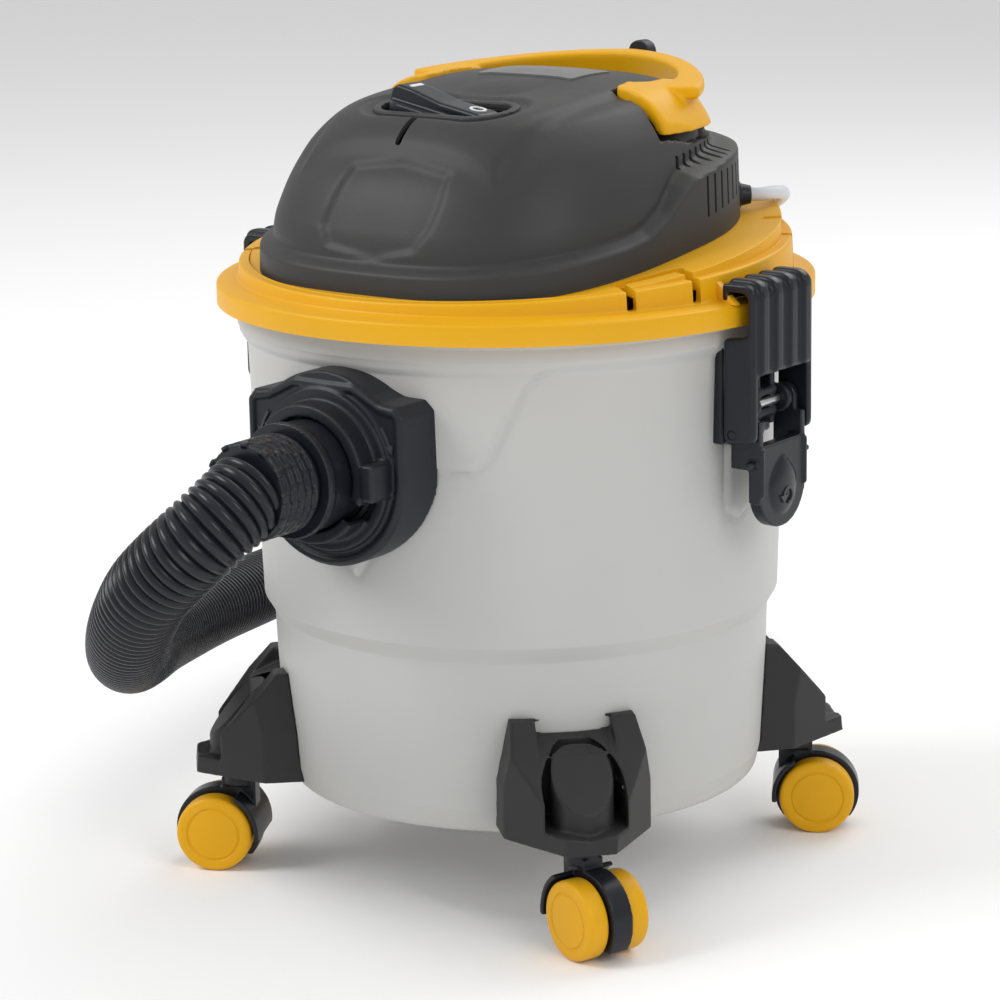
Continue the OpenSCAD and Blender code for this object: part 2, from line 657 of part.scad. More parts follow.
module hood_screws() {
    color(c_steel) for (p = hood_boss_at) translate([p[0], p[1], 0]) {
        under = seat_under(p[1]) - 0.4;
        translate([0, 0, under - 2.6]) cylinder(r = 4, h = 2.6);
        translate([0, 0, under - 1]) cylinder(r = 1.9, h = seat_at(p[1]) + 15 - under);
    }
}

// ---------- motor, filter ----------
module motor_seal() { color(c_rubber)
    tube(can_r - 4, intake_r + 10, well_floor + lid_wall + skin, can_bot - skin); }
module turbine_housing() {
    color(c_steel) difference() {
        translate([0, 0, can_bot]) cylinder(r = can_r, h = can_h);
        translate([0, 0, can_bot + 1.5]) cylinder(r = can_r - 1.5, h = can_h - 6.5);
        translate([0, 0, can_bot - 1]) cylinder(r = intake_r + 6, h = 5);
        translate([0, 0, can_top - 8]) cylinder(r = shaft_r + 1, h = 20);
        translate([0, 0, can_top - 3]) cylinder(r = 11 + 0.05, h = 10);
        for (a = [0:45:315]) rotate([0, 0, a + 22.5])
            span([can_r - 6, -7, can_top - 24], [can_r + 5, 7, can_top - 12]);
    }
}
module motor_stator() {
    color(c_yellow) difference() {
        tube(stator_r, stator_r - 15, stator_bot, stator_top);
        for (s = [-1, 1]) span([-10, s * stator_r - 6, stator_bot - 1],
            [10, s * stator_r + 6, stator_top + 1]);
    }
    color(c_copper) for (s = [-1, 1]) difference() {
        span([-12, s * (stator_r - 8) - 6.5, stator_top + 0.2],
            [12, s * (stator_r - 8) + 6.5, stator_top + 6]);
        span([-6, s * (stator_r - 8) - 2, stator_top - 1], [6, s * (stator_r - 8) + 2, stator_top + 7]);
    }
}
module motor_frame() {
    leg = stator_r + 1;
    color(c_grey) difference() {
        union() {
            span([-leg - 4, -9, frame_top - 6], [leg + 4, 9, frame_top]);
            for (s = [-1, 1]) span([s * (leg + 2) - 2, -9, can_top + skin],
                [s * (leg + 2) + 2, 9, frame_top]);
            translate([0, 0, frame_top - 6]) cylinder(r = 15, h = 8);
        }
        translate([0, 0, frame_top - 7]) cylinder(r = shaft_r + 1, h = 20);
        translate([0, 0, frame_top - 7]) cylinder(r = 11.05, h = 6);
    }
}
module motor_bearings() {
    color(c_steel) {
        tube(11, shaft_r + run_fit, can_top - 3 + skin, can_top + 2);
        tube(11, shaft_r + run_fit, frame_top - 6, frame_top - 1 - skin);
    }
}
module motor_brushes() {
    color(c_rubber) for (s = [-1, 1])
        span([s * 24 - 11.4, -3.5, stator_top + 1], [s * 24 + 11.4, 3.5, stator_top + 7]);
}
module rotor_shaft() { color(c_steel) translate([0, 0, can_bot + 4])
    cylinder(r = shaft_r, h = frame_top - can_bot + 2); }
module armature() {
    color(c_copper) {
        tube(stator_r - 16, shaft_r + 0.02, stator_bot + 4, stator_top - 3);
        tube(11.8, shaft_r + 0.02, stator_top - 2, stator_top + 7);
    }
}
module fan() {
    blade_r = can_r - 6;
    color(c_steel) {
        tube(8, shaft_r + 0.02, can_bot + 6, can_bot + 22);
        tube(blade_r, 7.9, can_bot + 20, can_bot + 21.5);
        difference() {
            union() {
                for (a = [0:45:315]) rotate([0, 0, a])
                    span([7.5, -0.7, can_bot + 8], [blade_r - 1, 0.7, can_bot + 20.2]);
                tube(blade_r, intake_r + 8, can_bot + 7, can_bot + 8.2);
            }
            translate([0, 0, can_bot]) cylinder(r = shaft_r + 0.02, h = 40);
        }
    }
}
module filter_cage() {
    color(c_black) difference() {
        union() {
            tube(cage_r, cage_r - 3, cage_bot, well_floor - skin);
            translate([0, 0, cage_bot]) cylinder(r = cage_r + foam_t, h = 3);
            tube(cage_r + foam_t, intake_r + 12, well_floor - 4, well_floor - skin);
            for (a = [0:90:270]) rotate([0, 0, a])
                span([float_r + 0.8, -1.5, cage_bot], [cage_r - 1, 1.5, well_floor - skin]);
        }
        for (a = [0:30:150]) rotate([0, 0, a + 15])
            span([-cage_r - 1, -9, cage_bot + 12], [cage_r + 1, 9, well_floor - 12]);
        translate([0, 0, cage_bot + 3]) cylinder(r = float_r + 0.8, h = cage_len);
        for (a = [30:60:330]) at_az(a) translate([0, -cage_r + 4, well_floor - 10])
            cylinder(r = 2.3, h = 20);
    }
}
module foam_filter() { color(c_foam)
    tube(cage_r + foam_t, cage_r + skin, cage_bot + 3 + skin, well_floor - 4 - skin); }
module float_ball() { color([0.9, 0.9, 0.88]) translate([0, 0, cage_bot + 3 + float_r + skin])
    sphere(r = float_r); }

// ---------- switch ----------
module switch_body() {
    color(c_black) translate([0, switch_y, 0]) difference() {
        translate([0, 0, switch_z - 15]) linear_extrude(20)
            stadium(switch_hole_half - 0.4, switch_hole_w - 0.4);
        translate([0, 0, switch_z - 9]) linear_extrude(20)
            stadium(switch_hole_half - 2, switch_hole_w - 1.8);
        rod_y(2.06, -switch_hole_w + 0.3, switch_hole_w - 0.3, 0, switch_z);
    }
}
module rocker() {
    color(c_black) translate([0, switch_y, switch_z]) rotate([0, rocker_rest, 0]) {
        difference() {
            translate([0, 0, -1]) linear_extrude(9.5) stadium(rocker_half, rocker_w);
            translate([0, 0, 62]) rotate([90, 0, 0]) cylinder(r = 55, h = 60, center = true);
        }
        rod_y(2, -rocker_w - 1.6, rocker_w + 1.6, 0, 0);
    }
}

// ---------- handle ----------
module handle_place() { translate([0, pivot_y, pivot_h]) rotate([bail_tilt, 0, 0]) children(); }
module carry_handle() {
    color(c_yellow) difference() {
        handle_place() {
            intersection() {
                rotate_extrude() translate([bail_r - bail_w / 2, 0]) square([bail_w, bail_t]);
                span([-120, 0, -20], [120, 120, 20]);
            }
            for (s = [-1, 1]) {
                span([s * bail_r - bail_w / 2, -14, 0], [s * bail_r + bail_w / 2, eps, bail_t]);
                span([s * bail_r - bail_w / 2, -14, -8], [s * bail_r + bail_w / 2, 14, bail_t / 2]);
            }
        }
        rod_x(3 + run_fit, -120, 120, pivot_y, pivot_h);
    }
}
module handle_pins() {
    out = bail_r + bail_w / 2;
    color(c_steel) for (s = [-1, 1])
        rod_x(3, s > 0 ? out - 0.5 - pin_len - 5 : -out + 0.5,
            s > 0 ? out - 0.5 : -out + 0.5 + pin_len + 5, pivot_y, pivot_h);
}

// ---------- cord ----------
module cord_gland() {
    color(c_black) at_az(gland_az) {
        rod_out(6.9, gland_out - 8, gland_out - 5.5, 0, gland_z);
        translate([0, -gland_out + 6, gland_z]) rotate([90, 0, 0]) cylinder(r1 = 6, r2 = 4.6, h = 6);
        rod_out(6, gland_out - 22, gland_out - 7, 0, gland_z);
    }
}
module cable_lead() { color(c_cable) sweep(cable_route, cable_r, 8); }
module cable_coil() {
    half = coil_turns * cable_r;
    color(c_cable) translate([coil_at[0], coil_at[1], 0]) rotate_extrude() translate([coil_r - half, 0])
        square([2 * half, 2 * half]);
}
module cable_tie() {
    half = coil_turns * cable_r;
    color(c_rubber) translate([coil_at[0], coil_at[1], 0]) at_az(60) difference() {
        span([-5, -coil_r - half - 1.6, 0], [5, -coil_r + half + 1.6, 2 * half + 1.6]);
        rotate_extrude() translate([coil_r - half - skin, -1])
            square([2 * half + 2 * skin, 2 * half + 1 + skin]);
    }
}
module cable_plug() {
    top = 2 * coil_turns * cable_r + skin;
    color(c_cable) translate([coil_at[0] - 8, coil_at[1] + 38, top + 9]) at_az(70) {
        span([-9, -18, -9], [9, 18, 9]);
        rod_y(13.5, -22, -17, 0, 4.5);
        rod_y(4.6, 17, 34, 0, 0);
    }
    color(c_steel) translate([coil_at[0] - 8, coil_at[1] + 38, top + 9]) at_az(70)
        for (x = [-9.5, 9.5]) rod_y(2.4, -41, -21.9, x, 4.5);
}
module cord_hook() {
    color(c_black) {
        span([-6.5, hook_y - 13, seat_at(hook_y) + 10], [6.5, hook_y + 8, seat_at(hook_y) + 20]);
        span([-6.5, hook_y, seat_at(hook_y) + 10], [6.5, hook_y + 8, pivot_h + 14.5]);
        rod_y(6.5, hook_y, hook_y + 8, 0, pivot_h + 14.5);
    }
}

tank();
inlet_housing();
inlet_seal();
inlet_deflector();
inlet_screws();
bracket(0);  // bracket_front_right
bracket(1);  // bracket_front_left
bracket(2);  // bracket_rear_right
bracket(3);  // bracket_rear_left
bracket_screws();
latch_base(1);  // latch_base_right
latch_base(-1);  // latch_base_left
latch_pivot_pins();
hose_run();
hose_cuff();
hose_end_cuff();
hose_connector();
connector_ring();
lid();
lid_seal();
hood();
hood_screws();
rating_plate();
motor_stator();
motor_brushes();
motor_frame();
motor_bearings();
motor_seal();
turbine_housing();
filter_cage();
foam_filter();
switch_body();
cord_gland();
cord_hook();
handle_pins();
cable_lead();
cable_coil();
cable_plug();
cable_tie();
carry_handle();
rocker();
rotor_shaft();
armature();
fan();
float_ball();
latch_lever(1);  // latch_lever_right
latch_lever(-1);  // latch_lever_left
latch_hook(1);  // latch_hook_right
latch_hook(-1);  // latch_hook_left
castor(0);  // castor_front_right
castor(1);  // castor_front_left
castor(2);  // castor_rear_right
castor(3);  // castor_rear_left
wheels(0);  // wheels_front_right
wheels(1);  // wheels_front_left
wheels(2);  // wheels_rear_right
wheels(3);  // wheels_rear_left
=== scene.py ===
import json
import math
import random
import bmesh
import bpy
from mathutils import Matrix, Vector


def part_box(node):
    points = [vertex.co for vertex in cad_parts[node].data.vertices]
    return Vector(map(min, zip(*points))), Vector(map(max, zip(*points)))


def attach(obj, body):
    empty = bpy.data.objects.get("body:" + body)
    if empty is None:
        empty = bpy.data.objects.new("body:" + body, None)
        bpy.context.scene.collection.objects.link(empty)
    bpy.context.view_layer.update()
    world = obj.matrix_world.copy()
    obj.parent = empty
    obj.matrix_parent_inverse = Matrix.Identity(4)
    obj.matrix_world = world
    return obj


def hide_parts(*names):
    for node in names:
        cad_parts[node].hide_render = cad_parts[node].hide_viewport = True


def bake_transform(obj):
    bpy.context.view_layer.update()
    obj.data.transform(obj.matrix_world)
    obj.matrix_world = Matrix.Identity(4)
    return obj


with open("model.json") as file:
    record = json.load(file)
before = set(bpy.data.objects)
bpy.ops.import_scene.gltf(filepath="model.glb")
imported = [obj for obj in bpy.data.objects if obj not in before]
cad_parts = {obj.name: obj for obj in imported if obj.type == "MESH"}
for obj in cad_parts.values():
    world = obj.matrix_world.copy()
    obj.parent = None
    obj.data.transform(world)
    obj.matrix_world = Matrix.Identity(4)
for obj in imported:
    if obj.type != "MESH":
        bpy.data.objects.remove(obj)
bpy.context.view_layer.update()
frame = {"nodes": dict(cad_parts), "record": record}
print("frame loaded:", len(frame["nodes"]), "nodes")

# Sizes below are in millimetres in the machine's own frame: floor at 0, hose inlet towards -Y.
mm = 0.001
random.seed(7)


# ---- camera, floor and light ----
view = {"place": (1.0149, -1.3593, 0.5985), "azimuth": 36.75, "yaw": -0.34, "pitch": 13.63,
        "roll": -1.072, "lens": 120.8, "lift": 0.006}


def makeCamera():
    yaw, pitch, roll = (math.radians(view[k]) for k in ("yaw", "pitch", "roll"))
    turn = Matrix.Rotation(math.radians(view["azimuth"]), 3, "Z")
    ahead = Vector((math.sin(yaw) * math.cos(pitch), math.cos(yaw) * math.cos(pitch), -math.sin(pitch)))
    right = Vector((math.cos(yaw), -math.sin(yaw), 0))
    up = right.cross(ahead)
    across = right * math.cos(roll) + up * math.sin(roll)
    above = up * math.cos(roll) - right * math.sin(roll)
    axes = [turn @ across, turn @ above, turn @ -ahead]
    camera = bpy.data.objects.new("Camera", bpy.data.cameras.new("Camera"))
    bpy.context.scene.collection.objects.link(camera)
    camera.matrix_world = Matrix.Translation(Vector(view["place"])) @ Matrix(axes).transposed().to_4x4()
    camera.data.lens = view["lens"]
    camera.data.sensor_width = 36
    camera.data.shift_y = view["lift"]
    camera.data.clip_start, camera.data.clip_end = 0.05, 30
    bpy.context.scene.camera = camera


studio = {"floorSize": 12, "floorColour": (0.97, 0.97, 0.97), "sky": 0.62,
          "panels": [  # where each soft panel hangs, its size and its power in watts
              ((-1.7, -1.9, 2.3), 1.5, 52), ((2.1, -0.6, 1.6), 1.1, 14), ((0.2, 1.9, 2.1), 1.8, 24)]}


def makeStudio():
    bpy.ops.mesh.primitive_plane_add(size=studio["floorSize"])
    floor = bpy.context.object
    floor.name = "Floor"
    paint = bpy.data.materials.new("floorPaper")
    paint.use_nodes = True
    shader = paint.node_tree.nodes["Principled BSDF"]
    shader.inputs["Base Color"].default_value = (*studio["floorColour"], 1)
    shader.inputs["Roughness"].default_value = 0.9
    floor.data.materials.append(paint)
    world = bpy.data.worlds.new("Studio")
    world.use_nodes = True
    world.node_tree.nodes["Background"].inputs["Color"].default_value = (1, 1, 1, 1)
    tree = world.node_tree
    soft = tree.nodes["Background"]
    soft.inputs["Strength"].default_value = studio["sky"]
    backdrop = tree.nodes.new("ShaderNodeBackground")
    backdrop.inputs["Color"].default_value = (1, 1, 1, 1)
    choice, rays = tree.nodes.new("ShaderNodeMixShader"), tree.nodes.new("ShaderNodeLightPath")
    tree.links.new(rays.outputs["Is Camera Ray"], choice.inputs[0])
    tree.links.new(soft.outputs[0], choice.inputs[1])
    tree.links.new(backdrop.outputs[0], choice.inputs[2])
    tree.links.new(choice.outputs[0], tree.nodes["World Output"].inputs["Surface"])
    bpy.context.scene.world = world
    for place, size, power in studio["panels"]:
        lamp = bpy.data.lights.new("Panel", "AREA")
        lamp.size, lamp.energy = size, power
        holder = bpy.data.objects.new("Panel", lamp)
        holder.location = place
        aim = Vector((0, 0, 0.22)) - Vector(place)
        holder.rotation_euler = aim.to_track_quat("-Z", "Y").to_euler()
        bpy.context.scene.collection.objects.link(holder)
    bpy.context.scene.view_settings.view_transform = "Standard"


makeCamera()
makeStudio()
print("camera and studio ready")


# ---- small helpers ----
def around(azimuth, radius, height):
    a = math.radians(azimuth)
    return Vector((radius * math.sin(a), -radius * math.cos(a), height))


def smoothStep(low, high, x):
    t = min(max((x - low) / (high - low), 0), 1)
    return t * t * (3 - 2 * t)


def roundedLine(points, radii, steps=5, closed=False):
    # a polyline with an arc of the given radius at each corner
    made = []
    count = len(points)
    for i, point in enumerate(points):
        radius = radii[i] if isinstance(radii, (list, tuple)) else radii
        if radius <= 0 or (not closed and i in (0, count - 1)):
            made.append(tuple(point))
            continue
        here = Vector(point)
        back = (Vector(points[i - 1]) - here)
        on = (Vector(points[(i + 1) % count]) - here)
        half = back.angle(on) / 2
        reach = min(radius / math.tan(half), 0.48 * back.length, 0.48 * on.length)
        start, end = here + back.normalized() * reach, here + on.normalized() * reach
        for k in range(steps + 1):
            t = k / steps
            made.append(tuple(start * (1 - t) ** 2 + here * 2 * t * (1 - t) + end * t ** 2))
    return made


def fillIn(points, spacing):
    # extra points along the long stretches of a polyline
    made = [points[0]]
    for a, b in zip(points, points[1:]):
        parts = max(1, round((Vector(b) - Vector(a)).length / spacing))
        made += [tuple(Vector(a).lerp(Vector(b), k / parts)) for k in range(1, parts + 1)]
    return made


def addLine(bm, points, closed=False):
    verts = [bm.verts.new(p) for p in points]
    pairs = list(zip(verts, verts[1:])) + ([(verts[-1], verts[0])] if closed else [])
    edges = [bm.edges.new(pair) for pair in pairs]
    return verts, edges


def spun(profile, steps=128, axis=(0, 0, 1), centre=(0, 0, 0), closed=False, bm=None):
    # profile is (radius, height) pairs, turned about the upright axis
    bm = bm or bmesh.new()
    verts, edges = addLine(bm, [(r, 0, z) for r, z in profile], closed)
    bmesh.ops.spin(bm, geom=verts + edges, cent=centre, axis=axis, angle=2 * math.pi, steps=steps, use_merge=True)
    bmesh.ops.remove_doubles(bm, verts=bm.verts, dist=1e-4)
    bmesh.ops.recalc_face_normals(bm, faces=bm.faces)
    return bm


def spunAbout(profile, start, direction, steps=96, closed=False):
    # profile is (radius, distance) pairs about an axis from start along direction
    bm = spun(profile, steps, closed=closed)
    turn = Vector(direction).to_track_quat("Z", "Y").to_matrix().to_4x4()
    bmesh.ops.transform(bm, matrix=Matrix.Translation(start) @ turn, verts=bm.verts)
    return bm


def slab(outline, low, high, rounding=0, segments=3, bm=None):
    # an outline in X and Y, raised from low to high, with its rim edges rounded
    bm = bm or bmesh.new()
    face = bm.faces.new([bm.verts.new((x, y, low)) for x, y in outline])
    raised = bmesh.ops.extrude_face_region(bm, geom=[face])
    top = [v for v in raised["geom"] if isinstance(v, bmesh.types.BMVert)]
    bmesh.ops.translate(bm, vec=(0, 0, high - low), verts=top)
    bmesh.ops.recalc_face_normals(bm, faces=bm.faces)
    if rounding:
        rim = [e for e in bm.edges if abs(e.verts[0].co.z - e.verts[1].co.z) < 1e-6]
        bmesh.ops.bevel(bm, geom=rim, offset=rounding, segments=segments, profile=0.5, affect="EDGES", material=-1)
    return bm


def block(low, high, rounding=0, segments=3):
    bm = bmesh.new()
    bmesh.ops.create_cube(bm, size=1)
    size = [b - a for a, b in zip(low, high)]
    middle = [(a + b) / 2 for a, b in zip(low, high)]
    bmesh.ops.scale(bm, vec=size, verts=bm.verts)
    bmesh.ops.translate(bm, vec=middle, verts=bm.verts)
    if rounding:
        bmesh.ops.bevel(bm, geom=list(bm.edges), offset=rounding, segments=segments, profile=0.5,
                        affect="EDGES", material=-1)
    return bm


def turned(bm, azimuth, centre=(0, 0, 0)):
    bmesh.ops.rotate(bm, cent=centre, matrix=Matrix.Rotation(math.radians(azimuth), 3, "Z"), verts=bm.verts)
    return bm


def moved(bm, offset):
    bmesh.ops.translate(bm, vec=offset, verts=bm.verts)
    return bm


def frontView(bm):
    # a shape drawn flat in X and Y stands up as X and Z, with its height towards -Y
    bmesh.ops.rotate(bm, cent=(0, 0, 0), matrix=Matrix.Rotation(math.radians(90), 3, "X"), verts=bm.verts)
    return bm


def sideView(bm):
    # a shape drawn flat in X and Y stands up as Y and Z, with its height towards +X
    swap = Matrix(((0, 0, 1), (1, 0, 0), (0, 1, 0)))
    bmesh.ops.transform(bm, matrix=swap.to_4x4(), verts=bm.verts)
    return bm


def joined(*parts):
    whole = bmesh.new()
    for part in parts:
        mesh = bpy.data.meshes.new("part")
        part.to_mesh(mesh)
        part.free()
        whole.from_mesh(mesh)
        bpy.data.meshes.remove(mesh)
    return whole


def asObject(name, bm):
    mesh = bpy.data.meshes.new(name)
    bm.to_mesh(mesh)
    bm.free()
    piece = bpy.data.objects.new(name, mesh)
    bpy.context.scene.collection.objects.link(piece)
    return piece


def withModifier(bm, kind, helper=None, **settings):
    # runs one modifier on a bmesh and gives the result back
    worker = asObject("worker", bm)
    modifier = worker.modifiers.new("step", kind)
    for key, value in settings.items():
        setattr(modifier, key, value)
    if helper:
        modifier.object = helper
    bpy.context.view_layer.update()
    mesh = bpy.data.meshes.new_from_object(worker.evaluated_get(bpy.context.evaluated_depsgraph_get()))
    made = bmesh.new()
    made.from_mesh(mesh)
    bpy.data.meshes.remove(mesh)
    old = worker.data
    bpy.data.objects.remove(worker)
    bpy.data.meshes.remove(old)
    return made


def carved(bm, cutter, operation="DIFFERENCE", solver="EXACT"):
    helper = asObject("cutter", cutter)
    made = withModifier(bm, "BOOLEAN", helper, operation=operation, solver=solver)
    bpy.data.objects.remove(helper)
    return made


def moulded(bm, grain=0.8, passes=6):
    # one skin over overlapping closed shapes, with the soft edges of a moulding
    bm = withModifier(bm, "REMESH", mode="VOXEL", voxel_size=grain)
    for _ in range(passes):
        bmesh.ops.smooth_vert(bm, verts=bm.verts, factor=0.5, use_axis_x=True, use_axis_y=True, use_axis_z=True)
    return bm


def nodeShape(*names):
    # a merged copy of CAD nodes, in millimetres
    bm = bmesh.new()
    for name in names:
        bm.from_mesh(frame["nodes"][name].data)
    bmesh.ops.scale(bm, vec=(1 / mm,) * 3, verts=bm.verts)
    bmesh.ops.remove_doubles(bm, verts=bm.verts, dist=1e-3)
    return bm


def finishPiece(name, bm, body, finish, stands=(), smooth=38):
    bmesh.ops.scale(bm, vec=(mm,) * 3, verts=bm.verts)
    piece = asObject(name, bm)
    piece.data.shade_smooth()
    piece.data.set_sharp_from_angle(angle=math.radians(smooth))
    piece.data.materials.clear()
    piece.data.materials.append(materials[finish])
    if body:
        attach(piece, body)
    if stands:
        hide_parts(*stands)
    return piece


# ---- materials ----
def nodeGroup(name, inputs, outputs):
    group = bpy.data.node_groups.new(name, "ShaderNodeTree")
    for socket, kind, value in inputs:
        made = group.interface.new_socket(name=socket, in_out="INPUT", socket_type=kind)
        made.default_value = value
    for socket, kind in outputs:
        group.interface.new_socket(name=socket, in_out="OUTPUT", socket_type=kind)
    return group, group.nodes.new("NodeGroupInput"), group.nodes.new("NodeGroupOutput")


def addNode(tree, kind, **settings):
    node = tree.nodes.new(kind)
    for key, value in settings.items():
        setattr(node, key, value)
    return node


def sumOf(tree, operation, a, b):
    node = addNode(tree, "ShaderNodeMath", operation=operation)
    for socket, value in zip(node.inputs, (a, b)):
        if isinstance(value, (int, float)):
            socket.default_value = value
        else:
            tree.links.new(value, socket)
    return node.outputs[0]


def makeGrainGroup():
    # spark-eroded mould texture: fine pebbles over a slow waviness
    group, given, out = nodeGroup("mouldGrain", [
        ("Pebble Size", "NodeSocketFloat", 700), ("Pebble Depth", "NodeSocketFloat", 0.5),
        ("Waviness", "NodeSocketFloat", 0.2), ("Roughness", "NodeSocketFloat", 0.5),
        ("Roughness Drift", "NodeSocketFloat", 0.08)],
        [("Height", "NodeSocketFloat"), ("Roughness", "NodeSocketFloat")])
    coords = addNode(group, "ShaderNodeTexCoord").outputs["Object"]
    pebbles = addNode(group, "ShaderNodeTexNoise")
    pebbles.inputs["Detail"].default_value = 2
    waves = addNode(group, "ShaderNodeTexNoise")
    waves.inputs["Scale"].default_value = 14
    cloud = addNode(group, "ShaderNodeTexNoise")
    cloud.inputs["Scale"].default_value = 38
    cloud.inputs["Detail"].default_value = 4
    for texture in (pebbles, waves, cloud):
        group.links.new(coords, texture.inputs["Vector"])
    group.links.new(given.outputs["Pebble Size"], pebbles.inputs["Scale"])
    fine = sumOf(group, "MULTIPLY", pebbles.outputs["Fac"], given.outputs["Pebble Depth"])
    slow = sumOf(group, "MULTIPLY", waves.outputs["Fac"], given.outputs["Waviness"])
    group.links.new(sumOf(group, "ADD", fine, slow), out.inputs["Height"])
    drift = sumOf(group, "MULTIPLY", sumOf(group, "SUBTRACT", cloud.outputs["Fac"], 0.5),
                  given.outputs["Roughness Drift"])
    group.links.new(sumOf(group, "ADD", given.outputs["Roughness"], drift), out.inputs["Roughness"])
    return group


def makeToneGroup():
    # base colour with faint mottling, dust that settles on upward faces, and paler rubbed edges
    group, given, out = nodeGroup("surfaceTone", [
        ("Colour", "NodeSocketColor", (0.5, 0.5, 0.5, 1)), ("Mottle", "NodeSocketFloat", 0.06),
        ("Dust", "NodeSocketFloat", 0.05), ("Edge Wear", "NodeSocketFloat", 0.15)],
        [("Colour", "NodeSocketColor")])
    coords = addNode(group, "ShaderNodeTexCoord").outputs["Object"]
    shape = addNode(group, "ShaderNodeNewGeometry")
    mottle = addNode(group, "ShaderNodeTexNoise")
    mottle.inputs["Scale"].default_value = 26
    mottle.inputs["Detail"].default_value = 6
    specks = addNode(group, "ShaderNodeTexNoise")
    specks.inputs["Scale"].default_value = 160
    specks.inputs["Detail"].default_value = 3
    for texture in (mottle, specks):
        group.links.new(coords, texture.inputs["Vector"])
    level = sumOf(group, "MULTIPLY", sumOf(group, "SUBTRACT", mottle.outputs["Fac"], 0.5), given.outputs["Mottle"])
    bright = addNode(group, "ShaderNodeHueSaturation")
    group.links.new(given.outputs["Colour"], bright.inputs["Color"])
    group.links.new(sumOf(group, "ADD", sumOf(group, "MULTIPLY", level, 2), 1), bright.inputs["Value"])
    upward = addNode(group, "ShaderNodeSeparateXYZ")
    group.links.new(shape.outputs["Normal"], upward.inputs[0])
    facing = addNode(group, "ShaderNodeMapRange")
    facing.inputs["From Min"].default_value, facing.inputs["From Max"].default_value = 0.55, 1
    group.links.new(upward.outputs["Z"], facing.inputs["Value"])
    dusty = sumOf(group, "MULTIPLY", sumOf(group, "MULTIPLY", facing.outputs[0], specks.outputs["Fac"]),
                  given.outputs["Dust"])
    withDust = addNode(group, "ShaderNodeMix", data_type="RGBA")
    withDust.inputs["B"].default_value = (0.62, 0.6, 0.56, 1)
    group.links.new(dusty, withDust.inputs["Factor"])
    group.links.new(bright.outputs["Color"], withDust.inputs["A"])
    edges = addNode(group, "ShaderNodeMapRange")
    edges.inputs["From Min"].default_value, edges.inputs["From Max"].default_value = 0.53, 0.62
    group.links.new(shape.outputs["Pointiness"], edges.inputs["Value"])
    worn = sumOf(group, "MULTIPLY", sumOf(group, "MULTIPLY", edges.outputs[0], mottle.outputs["Fac"]),
                 given.outputs["Edge Wear"])
    paler = addNode(group, "ShaderNodeMix", data_type="RGBA", blend_type="ADD")
    paler.inputs["B"].default_value = (0.3, 0.3, 0.3, 1)
    group.links.new(worn, paler.inputs["Factor"])
    group.links.new(withDust.outputs["Result"], paler.inputs["A"])
    group.links.new(paler.outputs["Result"], out.inputs["Colour"])
    return group


